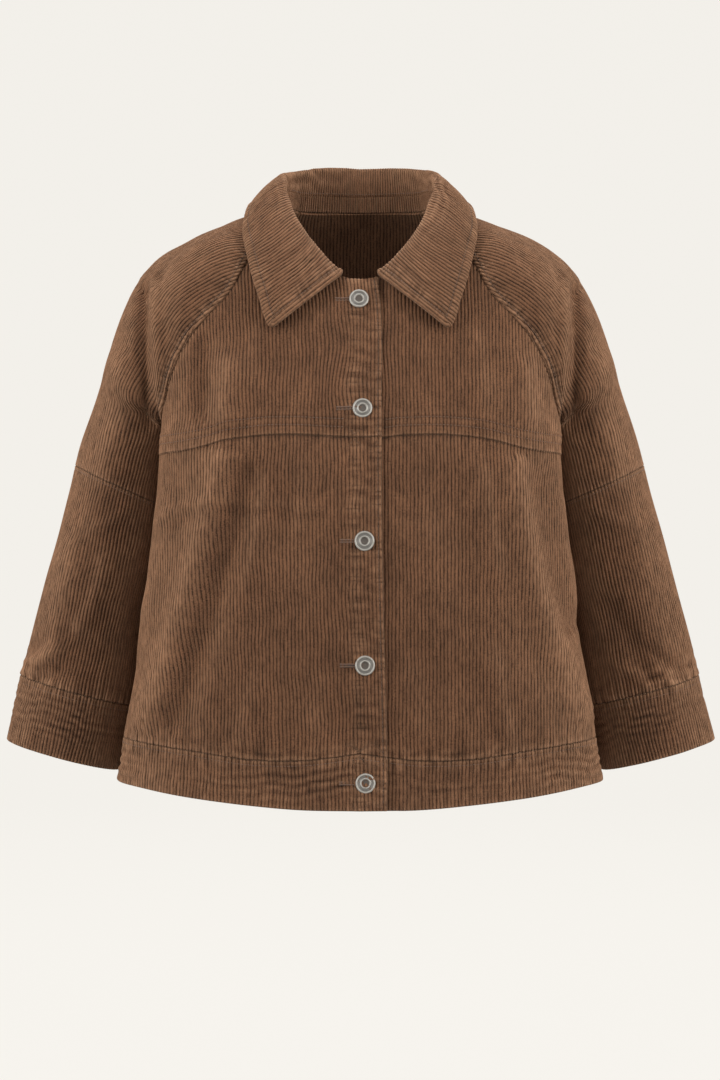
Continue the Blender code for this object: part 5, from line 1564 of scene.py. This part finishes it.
def buttonMaterial():           # metal, duller in the ring, dark in the hollow, tarnished in spots
    made, tree, sockets = newMaterial("button_metal", {})
    calc = partial(mathNode, tree)
    layout = layoutOf(tree)
    radius = calc('MULTIPLY', splitVector(tree, layout)[1], 1000)
    lines = noiseNode(tree, layout, 900, 3.0, 0.6, (0.02, 3.0, 1))
    spots = noiseNode(tree, tree.nodes.new('ShaderNodeTexCoord').outputs["Object"], 420, 4.0, 0.65)
    hollow = calc('LESS_THAN', radius, button["hollow"])
    inner, outer = button["ring"]
    ring = calc('MULTIPLY', calc('GREATER_THAN', radius, inner), calc('LESS_THAN', radius, outer))
    colour = mixColour(tree, ring, button["metal"], button["dull"])
    colour = mixColour(tree, hollow, colour, button["dark"])
    tarnish = calc('MULTIPLY_ADD', calc('SUBTRACT', spots, 0.52), 5.0, 0.0, clamp=True)
    colour = mixColour(tree, calc('MULTIPLY', tarnish, 0.55), colour, button["tarnish"])
    tree.links.new(colour, sockets["Base Color"])
    tree.links.new(calc('MULTIPLY_ADD', hollow, -0.3, 0.7), sockets["Metallic"])
    rough = calc('MULTIPLY_ADD', spots, 0.25, calc('MULTIPLY_ADD', lines, 0.18, 0.34))
    tree.links.new(rough, sockets["Roughness"])
    height = calc('MULTIPLY_ADD', lines, 0.7, calc('MULTIPLY', spots, 0.6))
    bendNormal(tree, sockets, height, 0.35, 0.0002)
    return made


buttonMetal = buttonMaterial()


def makeButton(number, x, height):      # the profile swept round the outward way
    place, way, across, upward = buttonFrame(x, height)
    sides = button["sides"]
    turns = np.arange(sides) / sides * 2 * math.pi
    profile = np.array(button["profile"])
    ringWay = np.cos(turns)[:, None] * across + np.sin(turns)[:, None] * upward
    rings = place + way * profile[:, None, 1:] + profile[:, None, :1] * ringWay[None]
    ids = np.arange(len(profile) * sides).reshape(-1, sides)
    turned = np.roll(ids, -1, axis=1)
    walls = np.stack([ids[:-1], turned[:-1], turned[1:], ids[1:]], axis=-1).reshape(-1, 4)
    faces = walls.tolist() + [ids[0][::-1].tolist(), ids[-1].tolist()]
    angle = np.broadcast_to(turns / (2 * math.pi) * 100, ids.shape).ravel()
    radius = np.broadcast_to(profile[:, :1], ids.shape).ravel()
    corners = np.concatenate([np.array(face) for face in faces])
    piece = addMesh("metal_button_%d" % number, rings.reshape(-1, 3), faces,
                    np.stack([angle, radius], axis=-1)[corners], smoothAngle=50)
    finish(piece, buttonMetal, ("button_%d" % number,))


for number, (x, height) in enumerate(buttonPlaces, start=1):
    makeButton(number, x, height)
print("buttons ready")


# room, light and camera

studio = {
    "floor": -0.93, "depth": 4.2, "wide": 11.0, "curve": 1.1, "top": 3.2,
    "steps": 12, "start": -6.0, "cameraPlace": (0.0, -2.75, -0.340), "lens": 86.67,
    "backdrop": {"Base Color": (0.05, 0.049, 0.047, 1), "Roughness": 1.0, "Specular IOR Level": 0.0,
                 "Emission Color": (0.905, 0.880, 0.831, 1), "Emission Strength": 0.955},
    "world": {"Color": (1.0, 0.985, 0.96, 1), "Strength": 0.32},
}
lights = {                      # place, aim, size and power
    "left_wall": ((-2.3, -1.5, 0.45), (0, 0, -0.3), (1.2, 1.7), 66),
    "right_wall": ((2.3, -1.5, 0.45), (0, 0, -0.3), (1.2, 1.7), 66),
    "front": ((0, -2.6, 1.4), (0, 0, -0.3), (1.6, 0.8), 14),
    "over": ((0, 0.2, 1.5), (0, 0, -0.1), (2.0, 1.2), 22),
    "behind": ((0, 2.4, 1.5), (0, 0, -0.3), (2.4, 1.4), 34),
}


def makeBackdrop():             # a floor that curves up into a wall, swept across the width
    t = np.linspace(0, math.pi / 2, 24)
    r, back, floor = studio["curve"], studio["depth"], studio["floor"]
    curve = np.stack([back - r + r * np.sin(t), floor + r - r * np.cos(t)], -1)
    profile = np.concatenate([[(studio["start"], floor)], curve, [(back, studio["top"])]])
    across = np.linspace(-studio["wide"] / 2, studio["wide"] / 2, studio["steps"])[None]
    points = np.broadcast_arrays(across, profile[:, :1], profile[:, 1:])
    points = np.stack(points, -1).reshape(-1, 3)
    ids = np.arange(len(points)).reshape(-1, studio["steps"])
    faces = np.stack([ids[:-1, :-1], ids[:-1, 1:], ids[1:, 1:], ids[1:, :-1]], -1).reshape(-1, 4)
    backdrop = addMesh("studio_backdrop", points / mm, faces.tolist())
    backdrop.data.materials.append(newMaterial("pale_backdrop", studio["backdrop"])[0])
    backdrop.visible_diffuse = False


def addLight(name, place, aim, size, power):    # an area light at a place, turned to its aim
    lamp = bpy.data.lights.new(name, 'AREA')
    lamp.shape = 'RECTANGLE'
    lamp.size, lamp.size_y = size
    lamp.energy = power
    made = bpy.data.objects.new(name, lamp)
    bpy.context.scene.collection.objects.link(made)
    made.location = place
    x, y, z = np.array(place, float) - np.array(aim, float)
    made.rotation_euler = (math.pi / 2 - math.atan2(z, math.hypot(x, y)), 0, math.atan2(x, -y))


makeBackdrop()
for name, row in lights.items():
    addLight(name, *row)
world = bpy.data.worlds.new("studio")
world.use_nodes = True
for label, value in studio["world"].items():
    world.node_tree.nodes["Background"].inputs[label].default_value = value
bpy.context.scene.world = world
bpy.context.scene.view_settings.view_transform = 'Standard'

lens = bpy.data.cameras.new("camera")
lens.sensor_fit = 'VERTICAL'
lens.sensor_height = 36
lens.lens = studio["lens"]
camera = bpy.data.objects.new("camera", lens)
bpy.context.scene.collection.objects.link(camera)
camera.location = studio["cameraPlace"]
camera.rotation_euler = (math.pi / 2, 0, 0)
bpy.context.scene.camera = camera
print("studio ready")

triangles = {name: sum(len(face.vertices) - 2 for face in piece.data.polygons)
             for name, piece in pieces.items()}
most = max(triangles, key=triangles.get)
print("triangles", sum(triangles.values()), "most", most, triangles[most])
